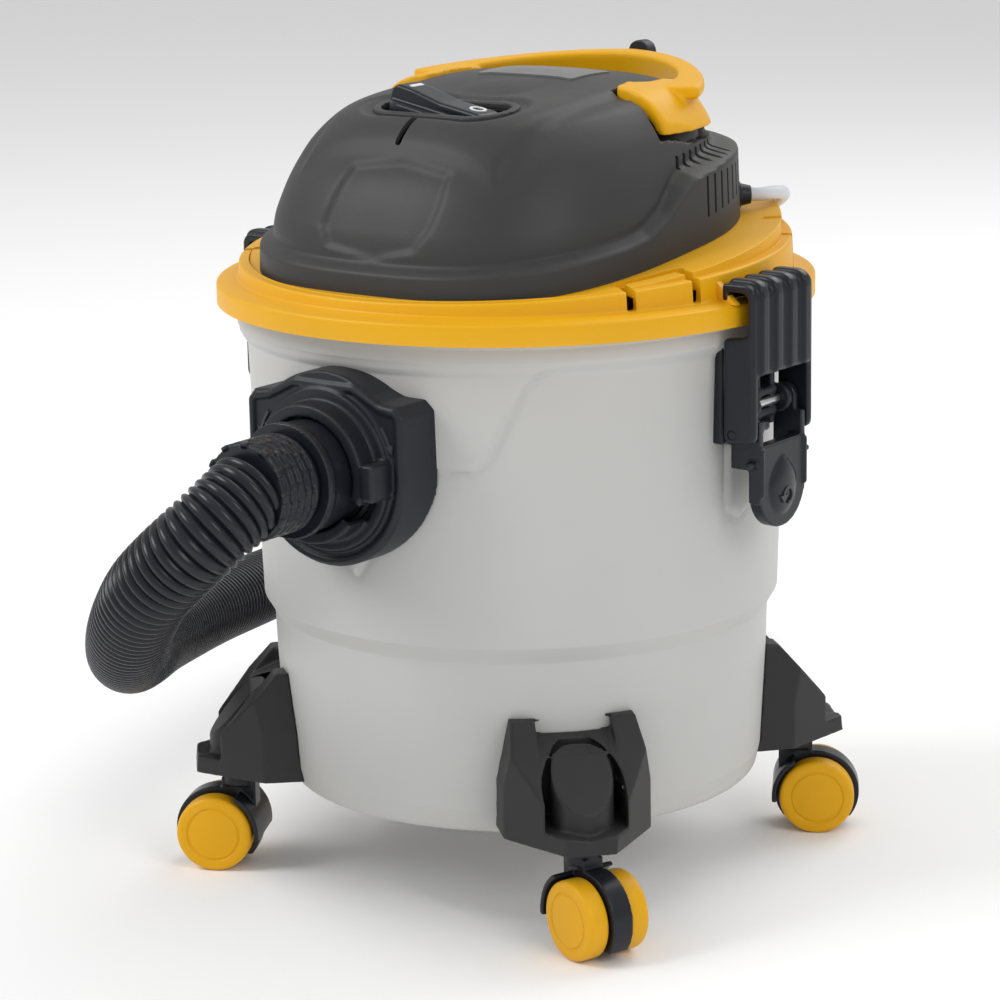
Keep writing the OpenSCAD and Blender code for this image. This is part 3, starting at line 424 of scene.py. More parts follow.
# one row of settings for each finish; slot is the record's name for it
finishes = {
    "tankShell": {"slot": "tank_plastic", "colour": (0.5, 0.5, 0.487), "rough": 0.46, "pebble": 900,
                  "depth": 0.35, "wave": 0.5, "mottle": 0.02, "dust": 0.02, "wear": 0.05},
    "warmYellow": {"slot": "yellow_plastic", "colour": (0.74, 0.375, 0.0), "rough": 0.45, "pebble": 620,
                   "depth": 0.9, "wave": 0.3, "mottle": 0.03, "dust": 0.02, "wear": 0.1},
    "hoodGrey": {"slot": "hood_plastic", "colour": (0.034, 0.034, 0.034), "rough": 0.5, "pebble": 800,
                 "depth": 0.8, "wave": 0.3, "mottle": 0.05, "dust": 0.03, "wear": 0.12},
    "bracketGrey": {"slot": "bracket_plastic", "colour": (0.022, 0.022, 0.023), "rough": 0.48, "pebble": 800,
                    "depth": 0.7, "wave": 0.3, "mottle": 0.05, "dust": 0.03, "wear": 0.12},
    "inletBlack": {"slot": "black_plastic", "colour": (0.011, 0.0125, 0.018), "rough": 0.42, "pebble": 700,
                   "depth": 0.9, "wave": 0.3, "mottle": 0.05, "dust": 0.02, "wear": 0.2},
    "smoothBlack": {"slot": "black_plastic", "colour": (0.01, 0.0115, 0.017), "rough": 0.3, "pebble": 900,
                    "depth": 0.2, "wave": 0.4, "mottle": 0.05, "dust": 0.02, "wear": 0.15},
    "hoseBlack": {"slot": "hose_plastic", "colour": (0.009, 0.01, 0.015), "rough": 0.27, "pebble": 500,
                  "depth": 0.15, "wave": 0.3, "mottle": 0.06, "dust": 0.03, "wear": 0.12},
    "wheelYellow": {"slot": "wheel_yellow", "colour": (0.74, 0.375, 0.0), "rough": 0.4, "pebble": 900,
                    "depth": 0.25, "wave": 0.2, "mottle": 0.03, "dust": 0.03, "wear": 0.1},
    "rubber": {"slot": "rubber", "colour": (0.018, 0.018, 0.018), "rough": 0.75, "pebble": 900,
               "depth": 0.5, "wave": 0.3, "mottle": 0.08, "dust": 0.06, "wear": 0.1},
    "steel": {"slot": "steel", "colour": (0.6, 0.61, 0.63), "rough": 0.3, "pebble": 1200, "depth": 0.25,
              "wave": 0.1, "mottle": 0.1, "dust": 0, "wear": 0.2, "metal": 1},
    "plateGrey": {"slot": "plate_grey", "colour": (0.15, 0.15, 0.15), "rough": 0.36, "pebble": 1500,
                  "depth": 0.1, "wave": 0.2, "mottle": 0.05, "dust": 0.04, "wear": 0},
    "windings": {"slot": "copper", "colour": (0.62, 0.27, 0.1), "rough": 0.35, "pebble": 400, "depth": 0.9,
                 "wave": 0.2, "mottle": 0.25, "dust": 0, "wear": 0.1, "metal": 1},
    "pressedSheet": {"slot": "aluminium", "shine": 0.5, "colour": (0.66, 0.67, 0.69), "rough": 0.36, "pebble": 1000,
                     "depth": 0.2, "wave": 0.3, "mottle": 0.08, "dust": 0, "wear": 0.1, "metal": 1},
    "openFoam": {"slot": "foam", "colour": (0.03, 0.03, 0.034), "rough": 0.95, "pebble": 260, "depth": 4,
                 "wave": 0.3, "mottle": 0.3, "dust": 0, "wear": 0.1},
    "cableSheath": {"slot": "cable_sheath", "colour": (0.62, 0.63, 0.66), "rough": 0.42, "pebble": 900,
                    "depth": 0.15, "wave": 0.3, "mottle": 0.03, "dust": 0.02, "wear": 0},
    "floatWhite": {"slot": "float_white", "colour": (0.75, 0.75, 0.72), "rough": 0.3, "pebble": 900,
                   "depth": 0.1, "wave": 0.2, "mottle": 0.03, "dust": 0, "wear": 0},
    "printWhite": {"slot": "plate_grey", "colour": (0.72, 0.72, 0.72), "rough": 0.5, "pebble": 900,
                   "depth": 0.1, "wave": 0.1, "mottle": 0.03, "dust": 0, "wear": 0},
}


def makeMaterial(name, look):
    made = bpy.data.materials.new(name)
    made.use_nodes = True
    tree = made.node_tree
    shader = tree.nodes["Principled BSDF"]
    shader.inputs["Metallic"].default_value = look.get("metal", 0)
    shader.inputs["Specular IOR Level"].default_value = look.get("shine", 0.3)
    grain = addNode(tree, "ShaderNodeGroup", node_tree=grainGroup)
    for socket, key in (("Pebble Size", "pebble"), ("Pebble Depth", "depth"), ("Waviness", "wave"),
                        ("Roughness", "rough")):
        grain.inputs[socket].default_value = look[key]
    tone = addNode(tree, "ShaderNodeGroup", node_tree=toneGroup)
    tone.inputs["Colour"].default_value = (*look["colour"], 1)
    for socket, key in (("Mottle", "mottle"), ("Dust", "dust"), ("Edge Wear", "wear")):
        tone.inputs[socket].default_value = look[key]
    bump = addNode(tree, "ShaderNodeBump")
    bump.inputs["Strength"].default_value = 0.35
    bump.inputs["Distance"].default_value = 0.0002
    tree.links.new(grain.outputs["Height"], bump.inputs["Height"])
    tree.links.new(bump.outputs["Normal"], shader.inputs["Normal"])
    tree.links.new(grain.outputs["Roughness"], shader.inputs["Roughness"])
    tree.links.new(tone.outputs["Colour"], shader.inputs["Base Color"])
    return made


grainGroup, toneGroup = makeGrainGroup(), makeToneGroup()
materials = {name: makeMaterial(name, look) for name, look in finishes.items()}
slotFinish = {look["slot"]: name for name, look in reversed(list(finishes.items()))}
for part in frame["record"]["subparts"]:
    node = frame["nodes"][part["node"]]
    node.data.materials.clear()
    node.data.materials.append(materials[slotFinish[part["material_slot"]]])
print("materials ready:", len(materials))


# ---- hose and cable ----
hose = {"radius": 21, "pitch": 4.7, "groove": 2.6, "sides": 40, "heading": 216.75, "route": [
    (0, -210, 237), (-1, -218, 233), (-5, -229, 225), (-13, -237, 215), (-26, -240, 203),
    (-41, -238, 190), (-58, -229, 175), (-78, -214, 158), (-101, -192, 141), (-127, -163, 127),
    (-155, -126, 116), (-182, -85, 108), (-206, -40, 101), (-226, 8, 96), (-243, 56, 91),
    (-262, 113, 85), (-280, 172, 75), (-290, 226, 63), (-289, 276, 50), (-276, 320, 38),
    (-252, 354, 29), (-220, 377, 23), (-184, 388, 21), (-149, 381, 21), (-125, 358, 21),
    (-117, 326, 21), (-127, 295, 21), (-150, 270, 21), (-180, 246, 21), (-212, 222, 21)]}
cable = {"radius": 3.5, "sides": 12, "turns": 4, "coilAt": (-85, 205), "coilRadius": 42, "route": [
    (92.7, 77.8, 347), (97, 82, 347), (99, 90, 347), (97, 101, 345.5), (90, 113, 342), (79, 125, 337),
    (64, 137, 329), (48, 148, 318), (31, 158, 303), (17, 165, 282), (8, 169, 254), (3, 172, 218),
    (1, 175, 180), (0, 179, 140), (0, 184, 102), (0, 190, 66), (-1, 195, 38), (-6, 197, 18),
    (-16, 193, 8), (-28, 184, 4.5)]}


def smoothPath(points, spacing):
    # a Catmull-Rom curve through the points, sampled evenly
    points = [Vector(p) for p in points]
    ends = [2 * points[0] - points[1]] + points + [2 * points[-1] - points[-2]]
    dense = []
    for a, b, c, d in zip(ends, ends[1:], ends[2:], ends[3:]):
        for k in range(24):
            t = k / 24
            dense.append(0.5 * (2 * b + (c - a) * t + (2 * a - 5 * b + 4 * c - d) * t ** 2
                                + (3 * b - a - 3 * c + d) * t ** 3))
    dense.append(points[-1])
    lengths = [0]
    for a, b in zip(dense, dense[1:]):
        lengths.append(lengths[-1] + (b - a).length)
    count = max(2, round(lengths[-1] / spacing))
    made, k = [], 0
    for i in range(count + 1):
        target = lengths[-1] * i / count
        while k < len(lengths) - 2 and lengths[k + 1] < target:
            k += 1
        span = lengths[k + 1] - lengths[k]
        made.append(dense[k].lerp(dense[k + 1], (target - lengths[k]) / span if span else 0))
    return made, lengths[-1]


def alongPath(bm, path, length, start=0):
    # bends a straight shape that stands on the Z axis so that Z becomes distance along the path
    step = length / (len(path) - 1)
    headings = [(path[min(i + 1, len(path) - 1)] - path[max(i - 1, 0)]).normalized() for i in range(len(path))]
    side = headings[0].orthogonal().normalized()
    sides = []
    for ahead in headings:
        side = (side - ahead * side.dot(ahead)).normalized()
        sides.append(side)
    for vert in bm.verts:
        place = min(max((vert.co.z - start) / step, 0), len(path) - 1.0001)
        i = int(place)
        t = place - i
        centre = path[i].lerp(path[i + 1], t)
        ahead = headings[i].lerp(headings[i + 1], t).normalized()
        across = sides[i].lerp(sides[i + 1], t)
        across = (across - ahead * across.dot(ahead)).normalized()
        over = vert.co.z - start - place * step
        vert.co = centre + across * vert.co.x + ahead.cross(across) * vert.co.y + ahead * over
    return bm


def makeHose():
    path, length = smoothPath(hose["route"], 3)
    ribs = round(length / hose["pitch"])
    pitch = length / ribs
    outer, inner = hose["radius"], hose["radius"] - hose["groove"]
    profile = []
    for k in range(ribs):
        z = k * pitch
        profile += [(inner, z), (outer - 0.7, z + 0.2 * pitch), (outer, z + 0.42 * pitch),
                    (outer, z + 0.58 * pitch), (outer - 0.7, z + 0.8 * pitch)]
    profile += [(inner, length), (0, length)]
    bm = spun([(0, 0)] + profile, hose["sides"])
    piece = finishPiece("Hose", alongPath(bm, path, length), "tank_unit", "hoseBlack", ["hose_run"], smooth=80)


def coilPoints():
    # turns laid side by side and on each other, from the lead's last point round and round
    points = []
    turns, r = cable["turns"], cable["radius"]
    start = math.atan2(cable["route"][-1][1] - cable["coilAt"][1], cable["route"][-1][0] - cable["coilAt"][0])
    steps = 24
    for turn in range(turns * turns):
        layer, place = divmod(turn, turns)
        if layer % 2:
            place = turns - 1 - place
        for k in range(steps):
            t = k / steps
            nextLayer, nextPlace = divmod(min(turn + 1, turns * turns - 1), turns)
            if nextLayer % 2:
                nextPlace = turns - 1 - nextPlace
            shift = smoothStep(0.8, 1, t)
            column = (turns - 1 - place) + (place - nextPlace) * shift
            height = layer + (nextLayer - layer) * shift
            radius = cable["coilRadius"] + (column - (turns - 1) / 2) * 2 * r
            angle = start + 2 * math.pi * (turn + t)
            points.append((cable["coilAt"][0] + radius * math.cos(angle),
                           cable["coilAt"][1] + radius * math.sin(angle), r + height * 2 * r))
    return points


def makeCable():
    leadIn = cable["route"][:-1]
    points = leadIn + coilPoints()
    path, length = smoothPath(points, 3)
    profile = [(0, 0)] + [(cable["radius"], length * k / (len(path) - 1)) for k in range(len(path))] + [(0, length)]
    bm = alongPath(spun(profile, cable["sides"]), path, length)
    piece = finishPiece("MainsCable", bm, None, "cableSheath", ["cable_lead", "cable_coil"], smooth=80)
    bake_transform(piece)


makeHose()
makeCable()
print("hose and cable laid")

# ---- tank ----
tank = {"steps": 480, "wall": 2.8, "relief": 1.9, "seam": 0.8, "profile": [
    # radius, height, corner radius
    (0, 50, 0), (122.3, 50, 5), (124.7, 62, 6), (127.7, 116, 8), (128.4, 139, 3), (133.6, 147.7, 3),
    (137.9, 283, 3), (142.7, 290, 3), (142.7, 302, 1)],
    # edge of the raised panel: azimuth and height, from the inlet up to the rim's flare and down to the latch
    "panel": [(0, 180), (17, 236), (27, 237.5), (30.3, 243), (37.6, 279), (40.5, 285), (45, 287.5),
              (81, 287.5), (84.6, 283.5), (85.2, 278), (85.6, 205), (90, 200)]}


def panelHeight(azimuth, height):
    # how far a point of the wall lies inside the raised panel, in millimetres; the panel is the same left and right
    azimuth = abs(azimuth)
    if azimuth > 90:
        azimuth = 180 - azimuth
    best = 1e9
    point = Vector((azimuth * 2.4, height))
    line = [Vector((a * 2.4, z)) for a, z in tank["panel"]]
    for a, b in zip(line, line[1:]):
        t = min(max((point - a).dot(b - a) / (b - a).length_squared, 0), 1)
        best = min(best, (point - a.lerp(b, t)).length)
    limit = None
    for (a, za), (b, zb) in zip(tank["panel"], tank["panel"][1:]):
        if a <= azimuth <= b:
            limit = za + (zb - za) * (azimuth - a) / (b - a)
            break
    raised = limit is None or height > limit
    return best if raised else -best


def makeTank():
    outer = [(r, z) for r, z, c in tank["profile"]]
    radii = [c for r, z, c in tank["profile"]]
    line = fillIn([tuple(p) for p in roundedLine(outer, radii)], 2.2)
    line = [p for p in line if p[1] > 50.01 or p[0] in (0, line[0][0]) or p[0] > 110]
    inner = [(r - tank["wall"], z) for r, z, c in reversed(tank["profile"][1:-1])]
    inner = [(inner[0][0] + 4.8, 302)] + [(139.9, 290)] + inner[1:-1] + [(119.5, 54), (0, 52.8)]
    bm = spun(line + inner, tank["steps"])
    for vert in bm.verts:
        x, y, z = vert.co
        radius = math.hypot(x, y)
        if radius < 123 or z > 289 or z < 150 or radius < 131.5 + (z - 147) * 0.032:
            continue
        azimuth = math.degrees(math.atan2(x, -y))
        edge = panelHeight(azimuth, z)
        lift = tank["relief"] * smoothStep(-0.9, 0.9, edge) * smoothStep(291, 285, z)
        lift -= tank["seam"] * math.exp(-((edge + 1.6) / 1.5) ** 2) * smoothStep(291, 289, z)
        vert.co.x *= 1 + lift / radius
        vert.co.y *= 1 + lift / radius
    cutter = spunAbout([(0, 0), (30.4, 0), (30.4, 60), (0, 60)], (0, -150, 237), (0, 1, 0), 64)
    bm = carved(bm, cutter)
    return finishPiece("Tank", bm, "tank_unit", "tankShell", ["tank"], smooth=50)


makeTank()
print("tank done")


# ---- lid ----
lid = {"steps": 300, "edgeMid": 325.8, "edgeTilt": 3.2, "seatMid": 330.5, "seatTilt": 6.67, "seatRadius": 135.6,
       "tier": 141, "flange": 152.7, "flangeLow": 300.2, "flangeTop": 310.5, "well": 80,
       "grooves": [59.5, 74.5, -59.5, -74.5, 120.5, -120.5], "grooveWidth": 5, "grooveFloor": 312.4}


def makeLid():
    edge, seat = 500, 600           # stand-in heights of the two tilted levels
    outline = [(0, seat), (lid["seatRadius"], seat, 0.6), (lid["seatRadius"] + 0.3, edge, 0.4), (lid["tier"], edge, 1.6),
               (lid["tier"] + 0.6, lid["flangeTop"] + 1.8, 2), (lid["flange"], lid["flangeTop"], 1.8),
               (lid["flange"], lid["flangeLow"], 1.2), (144, lid["flangeLow"]), (144, 305.8), (138, 305.8),
               (138, 318), (86, 318), (83, 300), (83, 262), (lid["well"] - 64, 262), (lid["well"] - 64, 265),
               (80, 265), (80, seat - 3), (0, seat - 3)]
    points = [p[:2] for p in outline]
    radii = [p[2] if len(p) > 2 else 0 for p in outline]
    bm = spun(fillIn(roundedLine(points[:7], radii[:7]), 400) + points[7:], lid["steps"])
    slopes = {"edge": (lid["edgeMid"], math.tan(math.radians(lid["edgeTilt"]))),
              "seat": (lid["seatMid"], math.tan(math.radians(lid["seatTilt"])))}
    for vert in bm.verts:
        for level, (mid, slope) in ((edge, slopes["edge"]), (seat, slopes["seat"])):
            if abs(vert.co.z - level) < 8:
                vert.co.z += mid - level + slope * vert.co.y
    for azimuth in lid["grooves"]:
        half = lid["grooveWidth"] / 2
        cutter = block((-half, -160, lid["grooveFloor"]), (half, -126, 360), 1.2)
        bm = carved(bm, turned(cutter, azimuth))
    for side in (-1, 1):
        for middle in (67 * side,):
            ring = slab(roundedLine([around(middle - 9.5, 129, 0).xy, around(middle, 128, 0).xy, around(middle + 9.5, 129, 0).xy,
                                     around(middle + 9, 124, 0).xy, around(middle, 123, 0).xy, around(middle - 9, 124, 0).xy],
                                    2, closed=True), 321.4, 360)
            bm = carved(bm, ring)
        gusset = sideView(slab([(-14, 311), (0, 311), (0, 322)], -1.6, 1.6))
        gusset = moved(gusset, (0, -140, 0))
        bm = joined(bm, turned(gusset, 80.5 * side))
    return finishPiece("Lid", bm, "head", "warmYellow", ["lid"], smooth=40)


makeLid()
print("lid done")


# ---- hood ----
hood = {"steps": 360, "rings": 96, "side": 110, "front": 128, "back": 105, "power": (2.8, 2.5), "wall": 2.6,
        "seat": 330.8, "seatSlope": math.tan(math.radians(6.67)), "crown": 77.3,
        # upper body: rise above the seat and share of the plan outline, at the front and at the back
        "frontBody": [(0, 0.985), (10, 0.965), (17, 0.95), (27.6, 0.935), (35, 0.915), (45, 0.88), (55, 0.835),
                      (65, 0.78), (74.5, 0.705), (80, 0.645), (83.5, 0.565), (85.6, 0.42), (86.8, 0.21)],
        "rearBody": [(0, 0.95), (7, 0.94), (14, 0.93), (20, 0.92), (27, 0.9), (35, 0.88), (42, 0.857),
                     (49, 0.83), (56, 0.79), (61, 0.73), (64.5, 0.62), (66.5, 0.42), (67.5, 0.21)],
        # height of the skirt's shoulder above the seat against azimuth
        "skirt": [(0, 14), (65, 14.5), (72, 16), (80, 22), (88, 31), (93, 35), (110, 37), (180, 33)],
        "pocket": [(-12, 377), (-13.5, 362), (-14.5, 349), (-12, 339), (2, 334.5), (13, 340), (16.5, 350), (18.5, 361),
                   (19.5, 376), (4, 381)], "pocketDepth": 1.9,
        "vents": {"azimuths": [97.5 + 3.9 * i for i in range(8)], "low": 345, "high": 365.5, "width": 2}}


def between(table, x):
    # smooth reading of a table of (x, value) pairs
    for (x0, y0), (x1, y1) in zip(table, table[1:]):
        if x <= x1:
            t = (x - x0) / (x1 - x0)
            return y0 + (y1 - y0) * min(max(t, 0), 1)
    return table[-1][1]


def hoodPlan(a):
    power = hood["power"][0] if math.cos(a) > 0 else hood["power"][1]
    reach = hood["front"] if math.cos(a) > 0 else hood["back"]
    return (abs(math.sin(a) / hood["side"]) ** power + abs(math.cos(a) / reach) ** power) ** (-1 / power)


def curveThrough(table, k):
    # Catmull-Rom through a table's rows, at row number k
    i = min(int(k), len(table) - 2)
    t = k - i
    p = [table[min(max(j, 0), len(table) - 1)] for j in (i - 1, i, i + 1, i + 2)]
    return [0.5 * (2 * b + (c - a) * t + (2 * a - 5 * b + 4 * c - d) * t ** 2 + (3 * b - a - 3 * c + d) * t ** 3)
            for a, b, c, d in zip(*p)]


def hoodPoint(azimuth, share):
    # share runs from 0 at the seat to 1 at the crown
    a = math.radians(azimuth)
    plan = hoodPlan(a)
    toBack = (hood["front"] - plan * math.cos(a)) / (hood["front"] + hood["back"])
    last = len(hood["frontBody"]) - 1
    k = share * (last + 1)
    if k <= last:
        front, rear = curveThrough(hood["frontBody"], k), curveThrough(hood["rearBody"], k)
        rise, scale = (f * (1 - toBack) + r * toBack for f, r in zip(front, rear))
        base = hood["seat"] - hood["seatSlope"] * plan * math.cos(a)
        radius = plan * scale
        shoulder = between(hood["skirt"], abs(azimuth))
        skirt = plan * (1 - 0.006 * toBack) - rise * 0.03
        step = 1 - smoothStep(shoulder - 2.2, shoulder + 2.6, rise)
        groove = math.exp(-((rise - shoulder - 3.4) / 2.2) ** 2) * 0.9
        radius += max(skirt - radius, 0) * step - groove
        return Vector((radius * math.sin(a), -radius * math.cos(a), base + rise))
    t = k - last
    lastFront, lastRear = hood["frontBody"][-1], hood["rearBody"][-1]
    rise, scale = (f * (1 - toBack) + r * toBack for f, r in zip(lastFront, lastRear))
    base = hood["seat"] - hood["seatSlope"] * plan * math.cos(a) + rise
    radius = plan * scale * (1 - t)
    height = base * (1 - t) ** 1.5 + (hood["seat"] + hood["crown"]) * (1 - (1 - t) ** 1.5)
    return Vector((radius * math.sin(a), -radius * math.cos(a), height))


def insideOf(outline, x, y):
    # distance from an outline, positive inside
    point = Vector((x, y))
    best, inside = 1e9, False
    for i, start in enumerate(outline):
        a, b = Vector(start), Vector(outline[(i + 1) % len(outline)])
        t = min(max((point - a).dot(b - a) / (b - a).length_squared, 0), 1)
        best = min(best, (point - a.lerp(b, t)).length)
        if (a.y > y) != (b.y > y) and x < (b.x - a.x) * (y - a.y) / (b.y - a.y) + a.x:
            inside = not inside
    return best if inside else -best


def hoodForm(offset=0, detail=True, steps=None, rings=None):
    steps, rings = steps or hood["steps"], rings or hood["rings"]
    bm = spun([(1 - k / rings, k / rings) for k in range(rings + 1)], steps)
    for vert in bm.verts:
        share = vert.co.z
        azimuth = math.degrees(math.atan2(vert.co.x, -vert.co.y)) if share < 1 else 0
        vert.co = hoodPoint(azimuth, share ** 0.92)
    bmesh.ops.recalc_face_normals(bm, faces=bm.faces)
    bm.normal_update()
    if bm.faces[0].normal.dot(bm.faces[0].calc_center_median() - Vector((0, 0, 340))) < 0:
        bmesh.ops.reverse_faces(bm, faces=bm.faces)
        bm.normal_update()
    pocket = [(a * 2, z) for a, z in hood["pocket"]]
    for vert in bm.verts:
        push = offset
        x, y, z = vert.co
        if detail:
            azimuth = math.degrees(math.atan2(x, -y))
            if y < -60 and abs(azimuth) < 40 and z > 325:
                push -= hood["pocketDepth"] * smoothStep(-2.4, 2.2, insideOf(pocket, azimuth * 2, z))
            if z > 362:
                # soft channel round the raised console
                edge = max(abs(x) - 61, -96 - y) if y < 10 else abs(x) - 61
                fade = smoothStep(62, 0, y) * smoothStep(363, 383, z)
                push -= 2.2 * math.exp(-((edge - 4) / 6.5) ** 2) * fade
                push += 0.8 * smoothStep(2, -4, edge) * fade
            stadium = math.hypot(max(abs(x) - 24, 0), y + 55)
            push -= 2.4 * smoothStep(25, 20.5, stadium) if z > 380 else 0
        vert.co += vert.normal * push
    return bm


def closedForm(bm):
    # puts a flat foot under an open dome
    rim = [e for e in bm.edges if e.is_boundary]
    made = bmesh.ops.extrude_edge_only(bm, edges=rim)
    foot = [v for v in made["geom"] if isinstance(v, bmesh.types.BMVert)]
    for vert in foot:
        vert.co.z = 300
    bmesh.ops.holes_fill(bm, edges=[e for e in bm.edges if e.is_boundary], sides=0)
    bmesh.ops.recalc_face_normals(bm, faces=bm.faces)
    return bm


def stadiumOutline(half, width, steps=16):
    arc = [math.pi * k / steps - math.pi / 2 for k in range(steps + 1)]
    right = [(half - width + width * math.cos(t), width * math.sin(t)) for t in arc]
    return right + [(-x, -y) for x, y in right]


# plan outline of the right lug of the carry handle
lug = {"outline": [(59, 6), (74, 2), (90, 0), (92, 26), (86, 54), (78, 74), (66, 68), (60, 50), (63, 30), (57, 18)],
       "rise": 2.6, "pocket": 5.5, "swingRoom": 8}


def makeHood():
    bm = hoodForm()
    for vert in bm.verts:
        inside = insideOf(lug["outline"], abs(vert.co.x), vert.co.y) if vert.co.z > 380 and abs(vert.co.x) > 50 else -9
        if inside > -1.2:
            depth = lug["pocket"] + lug["swingRoom"] * smoothStep(22, 12, vert.co.y)
            vert.co -= vert.normal * depth * smoothStep(-1, 0.6, inside)
    bm = withModifier(bm, "SOLIDIFY", thickness=hood["wall"], offset=-1)
    bm = carved(bm, moved(slab(stadiumOutline(37, 16), 370, 430), (0, -55, 0)))
    bm = carved(bm, block((-1.9, -94, 380), (1.9, -68, 420), 1.2))
    vents = hood["vents"]
    for side in (-1, 1):
        slots = []
        for i, azimuth in enumerate(vents["azimuths"]):
            low = vents["low"] + 1.1 * i
            slot = block((-vents["width"] / 2, -135, low), (vents["width"] / 2, -92, vents["high"] + 0.4 * i), 0.9, 2)
            slots.append(turned(slot, side * azimuth))
            if i < 7:
                upper = block((-1.3, -125, 368.5 + 0.7 * i), (1.3, -88, 375.5 + 0.7 * i), 1, 2)
                bmesh.ops.rotate(upper, cent=(0, -100, 371), matrix=Matrix.Rotation(math.radians(14), 3, "Y"),
                                 verts=upper.verts)
                slots.append(turned(upper, side * (azimuth - 4)))
        bm = carved(bm, joined(*slots), solver="MANIFOLD")
    print("hood vertices:", len(bm.verts))
    return finishPiece("Hood", bm, "head", "hoodGrey", ["hood"], smooth=42)


makeHood()
print("hood done")

# ---- carry handle, its pins and the switch ----
handle = {"pivot": (0, 8, 397), "tilt": 6, "reach": 97, "half": 84, "width": 10.5, "thick": 6.6, "lugUnder": 4.2, "rearDrop": 7, "lugFront": 4.5}


def tilted(bm, degrees, axis, centre):
    bmesh.ops.rotate(bm, cent=centre, matrix=Matrix.Rotation(math.radians(degrees), 3, axis), verts=bm.verts)
    return bm


def handleBand():
    # a flat band from lug to lug round the rear
    section = roundedLine([(-handle["width"] / 2, 0), (handle["width"] / 2, 0), (handle["width"] / 2, handle["thick"]),
                           (-handle["width"] / 2, handle["thick"])], 2, 4, closed=True)
    points = []
    for k in range(41):
        t = math.radians(14 + 152 * k / 40)
        points.append((handle["half"] * math.copysign(abs(math.cos(t)) ** 1.25, math.cos(t)),
                       handle["reach"] * math.sin(t), 0))
    path, length = smoothPath(points, 3)
    bm = bmesh.new()
    verts, edges = addLine(bm, [(x, y, 0) for x, y in section], closed=True)
    face = bm.faces.new(verts)
    steps = len(path) - 1
    for k in range(steps):
        made = bmesh.ops.extrude_face_region(bm, geom=[face])
        top = [v for v in made["geom"] if isinstance(v, bmesh.types.BMVert)]
        face = [f for f in made["geom"] if isinstance(f, bmesh.types.BMFace)][0]
        bmesh.ops.translate(bm, vec=(0, 0, length / steps), verts=top)
    for vert in bm.verts:
        i = min(round(vert.co.z / (length / steps)), steps)
        ahead = (path[min(i + 1, steps)] - path[max(i - 1, 0)]).normalized()
        outward = Vector((ahead.y, -ahead.x, 0))
        rear = path[i].y / handle["reach"]
        spread = 1 + 0.9 * smoothStep(0.75, 0.2, rear)
        drop = handle["rearDrop"] * smoothStep(0.35, 0.85, rear) if vert.co.y < 1 else 0
        vert.co = path[i] + outward * vert.co.x * spread + Vector((0, 0, vert.co.y - drop))
    bmesh.ops.recalc_face_normals(bm, faces=bm.faces)
    x, y, z = handle["pivot"]
    return tilted(moved(bm, (x, y, z)), handle["tilt"], "X", handle["pivot"])


def handleLug(side):
    # a blade that carries on the hood's own skin, let into a recess in it
    corners = [(x * side, max(y, handle["lugFront"])) for x, y in lug["outline"]]
    blade = slab(roundedLine(corners, 5, closed=True), 385, 425)
    blade = carved(blade, closedForm(hoodForm(lug["rise"], False, 180, 60)), "INTERSECT", "MANIFOLD")
    return carved(blade, closedForm(hoodForm(-handle["lugUnder"], False, 180, 60)), solver="MANIFOLD")


def makeHandle():
    bm = joined(handleBand(), handleLug(1), handleLug(-1))
    bm = moulded(bm, 0.9, 4)
    finishPiece("CarryHandle", bm, "handle", "warmYellow", ["carry_handle"], smooth=50)
    pins = joined(*[spunAbout([(0, 0), (3, 0), (3, 12), (0, 12)], (side * 66, 8, 397), (side, 0, 0), 32)
                    for side in (-1, 1)])
    finishPiece("HandlePins", pins, "head", "steel", ["handle_pins"])


rocker = {"place": (0, -55, 392), "rest": 11, "half": 33, "width": 13.5}


def placedOnRocker(bm):
    return tilted(moved(bm, rocker["place"]), rocker["rest"], "Y", rocker["place"])


def makeRocker():
    plate = slab(stadiumOutline(rocker["half"], rocker["width"]), -1, 6.5, 1.2)
    grip = frontView(slab([(-31.5, 3), (-30, 12), (-27, 14.6), (-17, 14.2), (0, 11.9), (24, 12), (30, 9), (31, 3)], -8.5, 8.5))
    bmesh.ops.bevel(grip, geom=list(grip.edges), offset=1.6, segments=3, profile=0.5, affect="EDGES", material=-1)
    trunnion = spunAbout([(0, 0), (2, 0), (2, 30.2), (0, 30.2)], (0, -15.1, 0), (0, 1, 0), 24)
    bm = moulded(joined(plate, grip, trunnion), 0.6, 3)
    finishPiece("Rocker", placedOnRocker(bm), "rocker", "smoothBlack", ["rocker"])
    bar = tilted(slab(roundedLine([(-1.2, -4.6), (1.2, -4.6), (1.2, 4.6), (-1.2, 4.6)], 0.3, closed=True), 0, 0.5),
                 5, "Y", (0, 0, 0))
    ring = spun([(2.9, 0), (4.3, 0), (4.3, 0.5), (2.9, 0.5)], 48, closed=True)
    marks = joined(moved(bar, (-21, 0, 14.3)), moved(ring, (18, 0, 12)))
    finishPiece("RockerMarks", placedOnRocker(marks), "rocker", "printWhite")
    lip = slab(stadiumOutline(41, 19.5), 380, 425)
    lip = moved(lip, (0, -55, 0))
    lip = carved(lip, moved(slab(stadiumOutline(36.6, 15.6), 370, 430), (0, -55, 0)), solver="MANIFOLD")
    lip = carved(lip, closedForm(hoodForm(1.5, True, 180, 60)), "INTERSECT", "MANIFOLD")
    lip = carved(lip, closedForm(hoodForm(-2.2, True, 180, 60)), solver="MANIFOLD")
    finishPiece("SwitchBezel", moulded(lip, 0.6, 3), "head", "hoodGrey", smooth=50)


makeHandle()
makeRocker()
print("handle and switch done")


# ---- inlet and hose ends ----
inlet = {"height": 237, "face": 155, "half": 48, "socket": 34, "cuff": 23, "barrelEnd": 186}


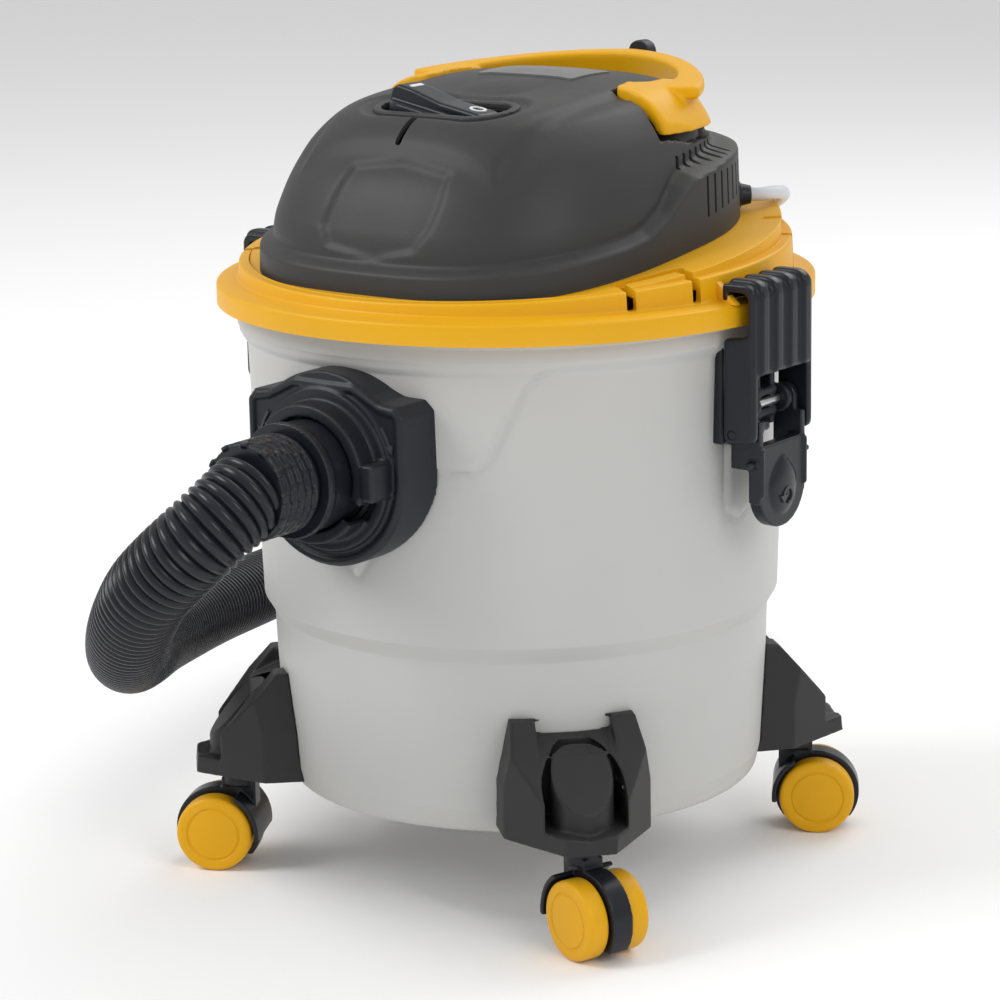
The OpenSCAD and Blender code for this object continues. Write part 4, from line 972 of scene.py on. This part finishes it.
def turnArrow(side):
    # a generic curved arrow on the inlet's face, beside the socket
    bm = bmesh.new()
    section = [(42.2, 0, 0), (43.6, 0, 0), (43.6, 0, 0.9), (42.2, 0, 0.9)]
    verts, edges = addLine(bm, section, closed=True)
    bm.faces.new(verts)
    bmesh.ops.spin(bm, geom=list(bm.faces) + list(bm.edges) + list(bm.verts), cent=(0, 0, 0), axis=(0, 0, 1),
                   angle=math.radians(13), steps=8)
    bmesh.ops.recalc_face_normals(bm, faces=bm.faces)
    head = slab([(40.6, 0), (45.2, 0), (42.9, -4.2)], 0, 0.9)
    bm = joined(bm, head)
    bmesh.ops.rotate(bm, cent=(0, 0, 0), matrix=Matrix.Rotation(math.radians(22), 3, "Z"), verts=bm.verts)
    if side < 0:
        bmesh.ops.scale(bm, vec=(-1, 1, 1), verts=bm.verts)
        bmesh.ops.reverse_faces(bm, faces=bm.faces)
    return moved(frontView(bm), (0, -inlet["face"] + 0.1, inlet["height"]))


def inletOutline(inset):
    r = inlet["half"] - inset
    top = inlet["height"] + 44 - inset
    low = inlet["height"] + 35 - inset
    arc = [(r * math.cos(math.radians(a)), inlet["height"] + r * math.sin(math.radians(a))) for a in range(-180, 1, 6)]
    corners = [(r, inlet["height"] + 30), (r - 4, low), (inlet["half"] - 14, low + 1), (18, top), (-18, top),
               (14 - inlet["half"], low + 1), (4 - r, low), (-r, inlet["height"] + 30)]
    return arc + corners


def makeInlet():
    bm = nodeShape("inlet_housing")
    border = frontView(slab(inletOutline(1.2), inlet["face"] - 1, inlet["face"] + 1.6))
    border = carved(border, frontView(slab(inletOutline(4.4), inlet["face"] - 5, inlet["face"] + 5)), solver="MANIFOLD")
    lugs = block((34, -171, 228), (41, -154, 246), 1)
    bm = joined(bm, border, lugs)
    bm = moulded(bm, 0.8, 3)
    finishPiece("InletHousing", bm, "tank_unit", "inletBlack", ["inlet_housing"], smooth=60)
    finishPiece("TurnArrows", joined(turnArrow(1), turnArrow(-1)), "tank_unit", "inletBlack", smooth=30)
    finishPiece("HoseConnector", moulded(nodeShape("hose_connector"), 0.6, 3), "connector", "smoothBlack",
                ["hose_connector"], smooth=60)


def makeHoseEnds():
    bars = []
    for row, start in enumerate((inlet["barrelEnd"] + 4, inlet["barrelEnd"] + 14)):
        for k in range(16):
            bar = block((-1.3, -start - 9, inlet["height"] + 22), (1.3, -start, inlet["height"] + 24), 0.4, 2)
            angle = 360 / 16 * (k + 0.5 * row)
            bars.append(tilted(bar, angle, "Y", (0, 0, inlet["height"])))
    notches = [tilted(block((-2.2, -inlet["barrelEnd"] - 29, inlet["height"] + 22.2),
                            (2.2, -inlet["barrelEnd"] - 24.6, inlet["height"] + 24.4), 0.5, 2), 30 * k, "Y",
                      (0, 0, inlet["height"])) for k in range(12)]
    bm = joined(nodeShape("hose_cuff"), *bars, *notches)
    finishPiece("HoseCuff", moulded(bm, 0.55, 2), "tank_unit", "smoothBlack", ["hose_cuff"], smooth=60)


makeInlet()
makeHoseEnds()
print("inlet done")


# ---- latches ----
latch = {"half": 26.5, "ribs": [-19, -6.4, 6.4, 19], "ribWidth": 6.2, "pivot": (0, -150, 259)}


def latchClaw(side):
    half = latch["half"]
    wrap = roundedLine([(-161.6, 276), (-161.6, 321), (-143, 321), (-143, 312.7), (-146.4, 312.7), (-146.4, 317),
                        (-157.6, 317), (-157.6, 276)], [0.5, 7, 2, 1, 1, 0.5, 4, 0.5], closed=True)
    ridge = roundedLine([(-163.8, 277), (-163.8, 323), (-144.5, 323), (-144.5, 319), (-160, 319), (-160, 277)],
                        [1.5, 8, 2, 1, 3, 1], closed=True)
    shapes = [sideView(slab(wrap, -half, half))]
    shapes += [sideView(slab(ridge, x - latch["ribWidth"] / 2, x + latch["ribWidth"] / 2, 0.9)) for x in latch["ribs"]]
    for x in (-1, 1):
        outer, inner = sorted((x * half, x * (half - 4)))
        cheek = roundedLine([(-161.6, 243), (-161.6, 314), (-157.6, 314), (-157.6, 296), (-143.6, 294), (-143.6, 243)],
                            [5, 2, 1, 3, 3, 4], closed=True)
        shapes.append(sideView(slab(cheek, outer, inner)))
    bm = joined(*shapes)
    notch = spunAbout([(0, 0), (2.46, 0), (2.46, 80), (0, 80)], (-40, -148.5, 247), (1, 0, 0), 32)
    bm = carved(moulded(bm, 0.7, 3), notch)
    name, stands = ("Right", "latch_hook_right") if side > 0 else ("Left", "latch_hook_left")
    finishPiece("LatchClaw" + name, turned(bm, 90 * side), "hook_right" if side > 0 else "hook_left", "smoothBlack",
                [stands], smooth=60)


def latchLever(side):
    name = "right" if side > 0 else "left"
    bm = turned(nodeShape("latch_lever_" + name), -90 * side)
    dome = bmesh.new()
    bmesh.ops.create_uvsphere(dome, u_segments=32, v_segments=20, radius=1)
    bmesh.ops.scale(dome, vec=(12.5, 3.4, 15), verts=dome.verts)
    for vert in dome.verts:
        if vert.co.z > 0:
            vert.co.x *= 1 - 0.5 * (vert.co.z / 15) ** 2
    dome = moved(dome, (0, -160.4, 219))
    fins = [block((x - 4, -160, 231), (x + 4, -155.5, 234), 0.8) for x in (-23, 23)]
    rims = [block((x - 1.4, -162.6, 216), (x + 1.4, -160, 240), 0.8) for x in (-19.4, 19.4)]
    bm = moulded(joined(bm, dome, *fins, *rims), 0.6, 3)
    loop = spun([(3.1, 0), (4.4, 0), (4.4, 1.1), (3.1, 1.1)], 40, closed=True)
    loop = carved(loop, block((-6, -6, -1), (0, 0.5, 3)), solver="MANIFOLD")
    tip = slab([(-7, 0.5), (-0.6, 0.5), (-3.8, -3.6)], 0, 1.1)
    mark = moved(frontView(joined(loop, tip)), (0.6, -163.2, 214))
    body = "lever_" + name
    finishPiece("LatchLever" + name.title(), turned(bm, 90 * side), body, "smoothBlack", ["latch_lever_" + name],
                smooth=60)
    finishPiece("LatchMark" + name.title(), turned(mark, 90 * side), body, "smoothBlack", smooth=30)


def latchBase(side):
    name = "right" if side > 0 else "left"
    bm = turned(nodeShape("latch_base_" + name), -90 * side)
    clip = [block((x - 2, -151.5, 247.5), (x + 2, -139, 281), 0.8) for x in (-6.5, 6.5)]
    clip += [block((-9, -152.5, z - 2), (9, -139, z + 2), 0.8) for z in (254, 264.5, 277)]
    backPlate = block((-22, -140.5, 240), (22, -133, 291), 1.5)
    bm = moulded(joined(bm, backPlate, *clip), 0.7, 3)
    pin = spunAbout([(0, 0), (2.56, 0), (2.56, 60), (0, 60)], (-30, -150, 259), (1, 0, 0), 32)
    finishPiece("LatchBase" + name.title(), turned(carved(bm, pin), 90 * side), "tank_unit", "inletBlack",
                ["latch_base_" + name], smooth=60)


for side in (1, -1):
    latchClaw(side)
    latchLever(side)
    latchBase(side)
print("latches done")


# ---- brackets and castors ----
wheel = {"radius": 20, "width": 11, "gap": 13}


def makeWheels(place):
    joint = next(j for j in frame["record"]["behaviour"]["joints"] if j["name"] == "roll_" + place)
    centre, axle = Vector(joint["pos_m"]) / mm, Vector(joint["axis"]).normalized()
    r, w = wheel["radius"], wheel["width"]
    profile = roundedLine([(0, 0), (r, 0), (r, w), (14.6, w), (14.2, w - 0.5), (13.4, w - 0.5), (13, w),
                           (0, w + 0.4)], [0, 1.6, 3, 0.2, 0.2, 0.2, 0.3, 0], 4)
    discs = []
    for way in (-1, 1):
        start = centre + axle * way * wheel["gap"] / 2
        discs.append(spunAbout(profile, start, axle * way, 72))
    rod = spunAbout([(0, 0), (3, 0), (3, 26), (0, 26)], centre - axle * 13, axle, 32)
    name = "".join(word.title() for word in place.split("_"))
    finishPiece("Wheels" + name, joined(*discs, rod), "wheels_" + place, "wheelYellow", ["wheels_" + place], smooth=40)
    finishPiece("Castor" + name, moulded(nodeShape("castor_" + place), 0.5, 2), "castor_" + place, "smoothBlack",
                ["castor_" + place], smooth=60)
    finishPiece("Bracket" + name, moulded(nodeShape("bracket_" + place), 0.8, 3), "tank_unit", "bracketGrey",
                ["bracket_" + place], smooth=60)


for place in ("front_right", "front_left", "rear_right", "rear_left"):
    makeWheels(place)
print("brackets and castors done")


# ---- small parts ----
def softened(name, node, body, finish, grain=0.5, passes=2):
    finishPiece(name, moulded(nodeShape(node), grain, passes), body, finish, [node], smooth=60)


def makePlate():
    # a thin rating plate that follows the hood's top, left blank
    low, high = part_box("rating_plate")
    corners = [(low[0] / mm, low[1] / mm), (high[0] / mm, low[1] / mm), (high[0] / mm, high[1] / mm),
               (low[0] / mm, high[1] / mm)]
    plate = slab(roundedLine(corners, 2.5, closed=True), 385, 430)
    plate = carved(plate, closedForm(hoodForm(0.8, True, 180, 60)), "INTERSECT", "MANIFOLD")
    plate = carved(plate, closedForm(hoodForm(-0.6, True, 180, 60)), solver="MANIFOLD")
    finishPiece("RatingPlate", plate, "head", "plateGrey", ["rating_plate"], smooth=30)


makePlate()
softened("CordHook", "cord_hook", "head", "inletBlack")
softened("CordGland", "cord_gland", "head", "inletBlack", 0.35)
softened("CablePlug", "cable_plug", "tank_unit", "cableSheath", 0.5)
softened("CableTie", "cable_tie", "tank_unit", "rubber", 0.5)
softened("HoseEndCuff", "hose_end_cuff", "tank_unit", "smoothBlack", 0.6)
print("small parts done")
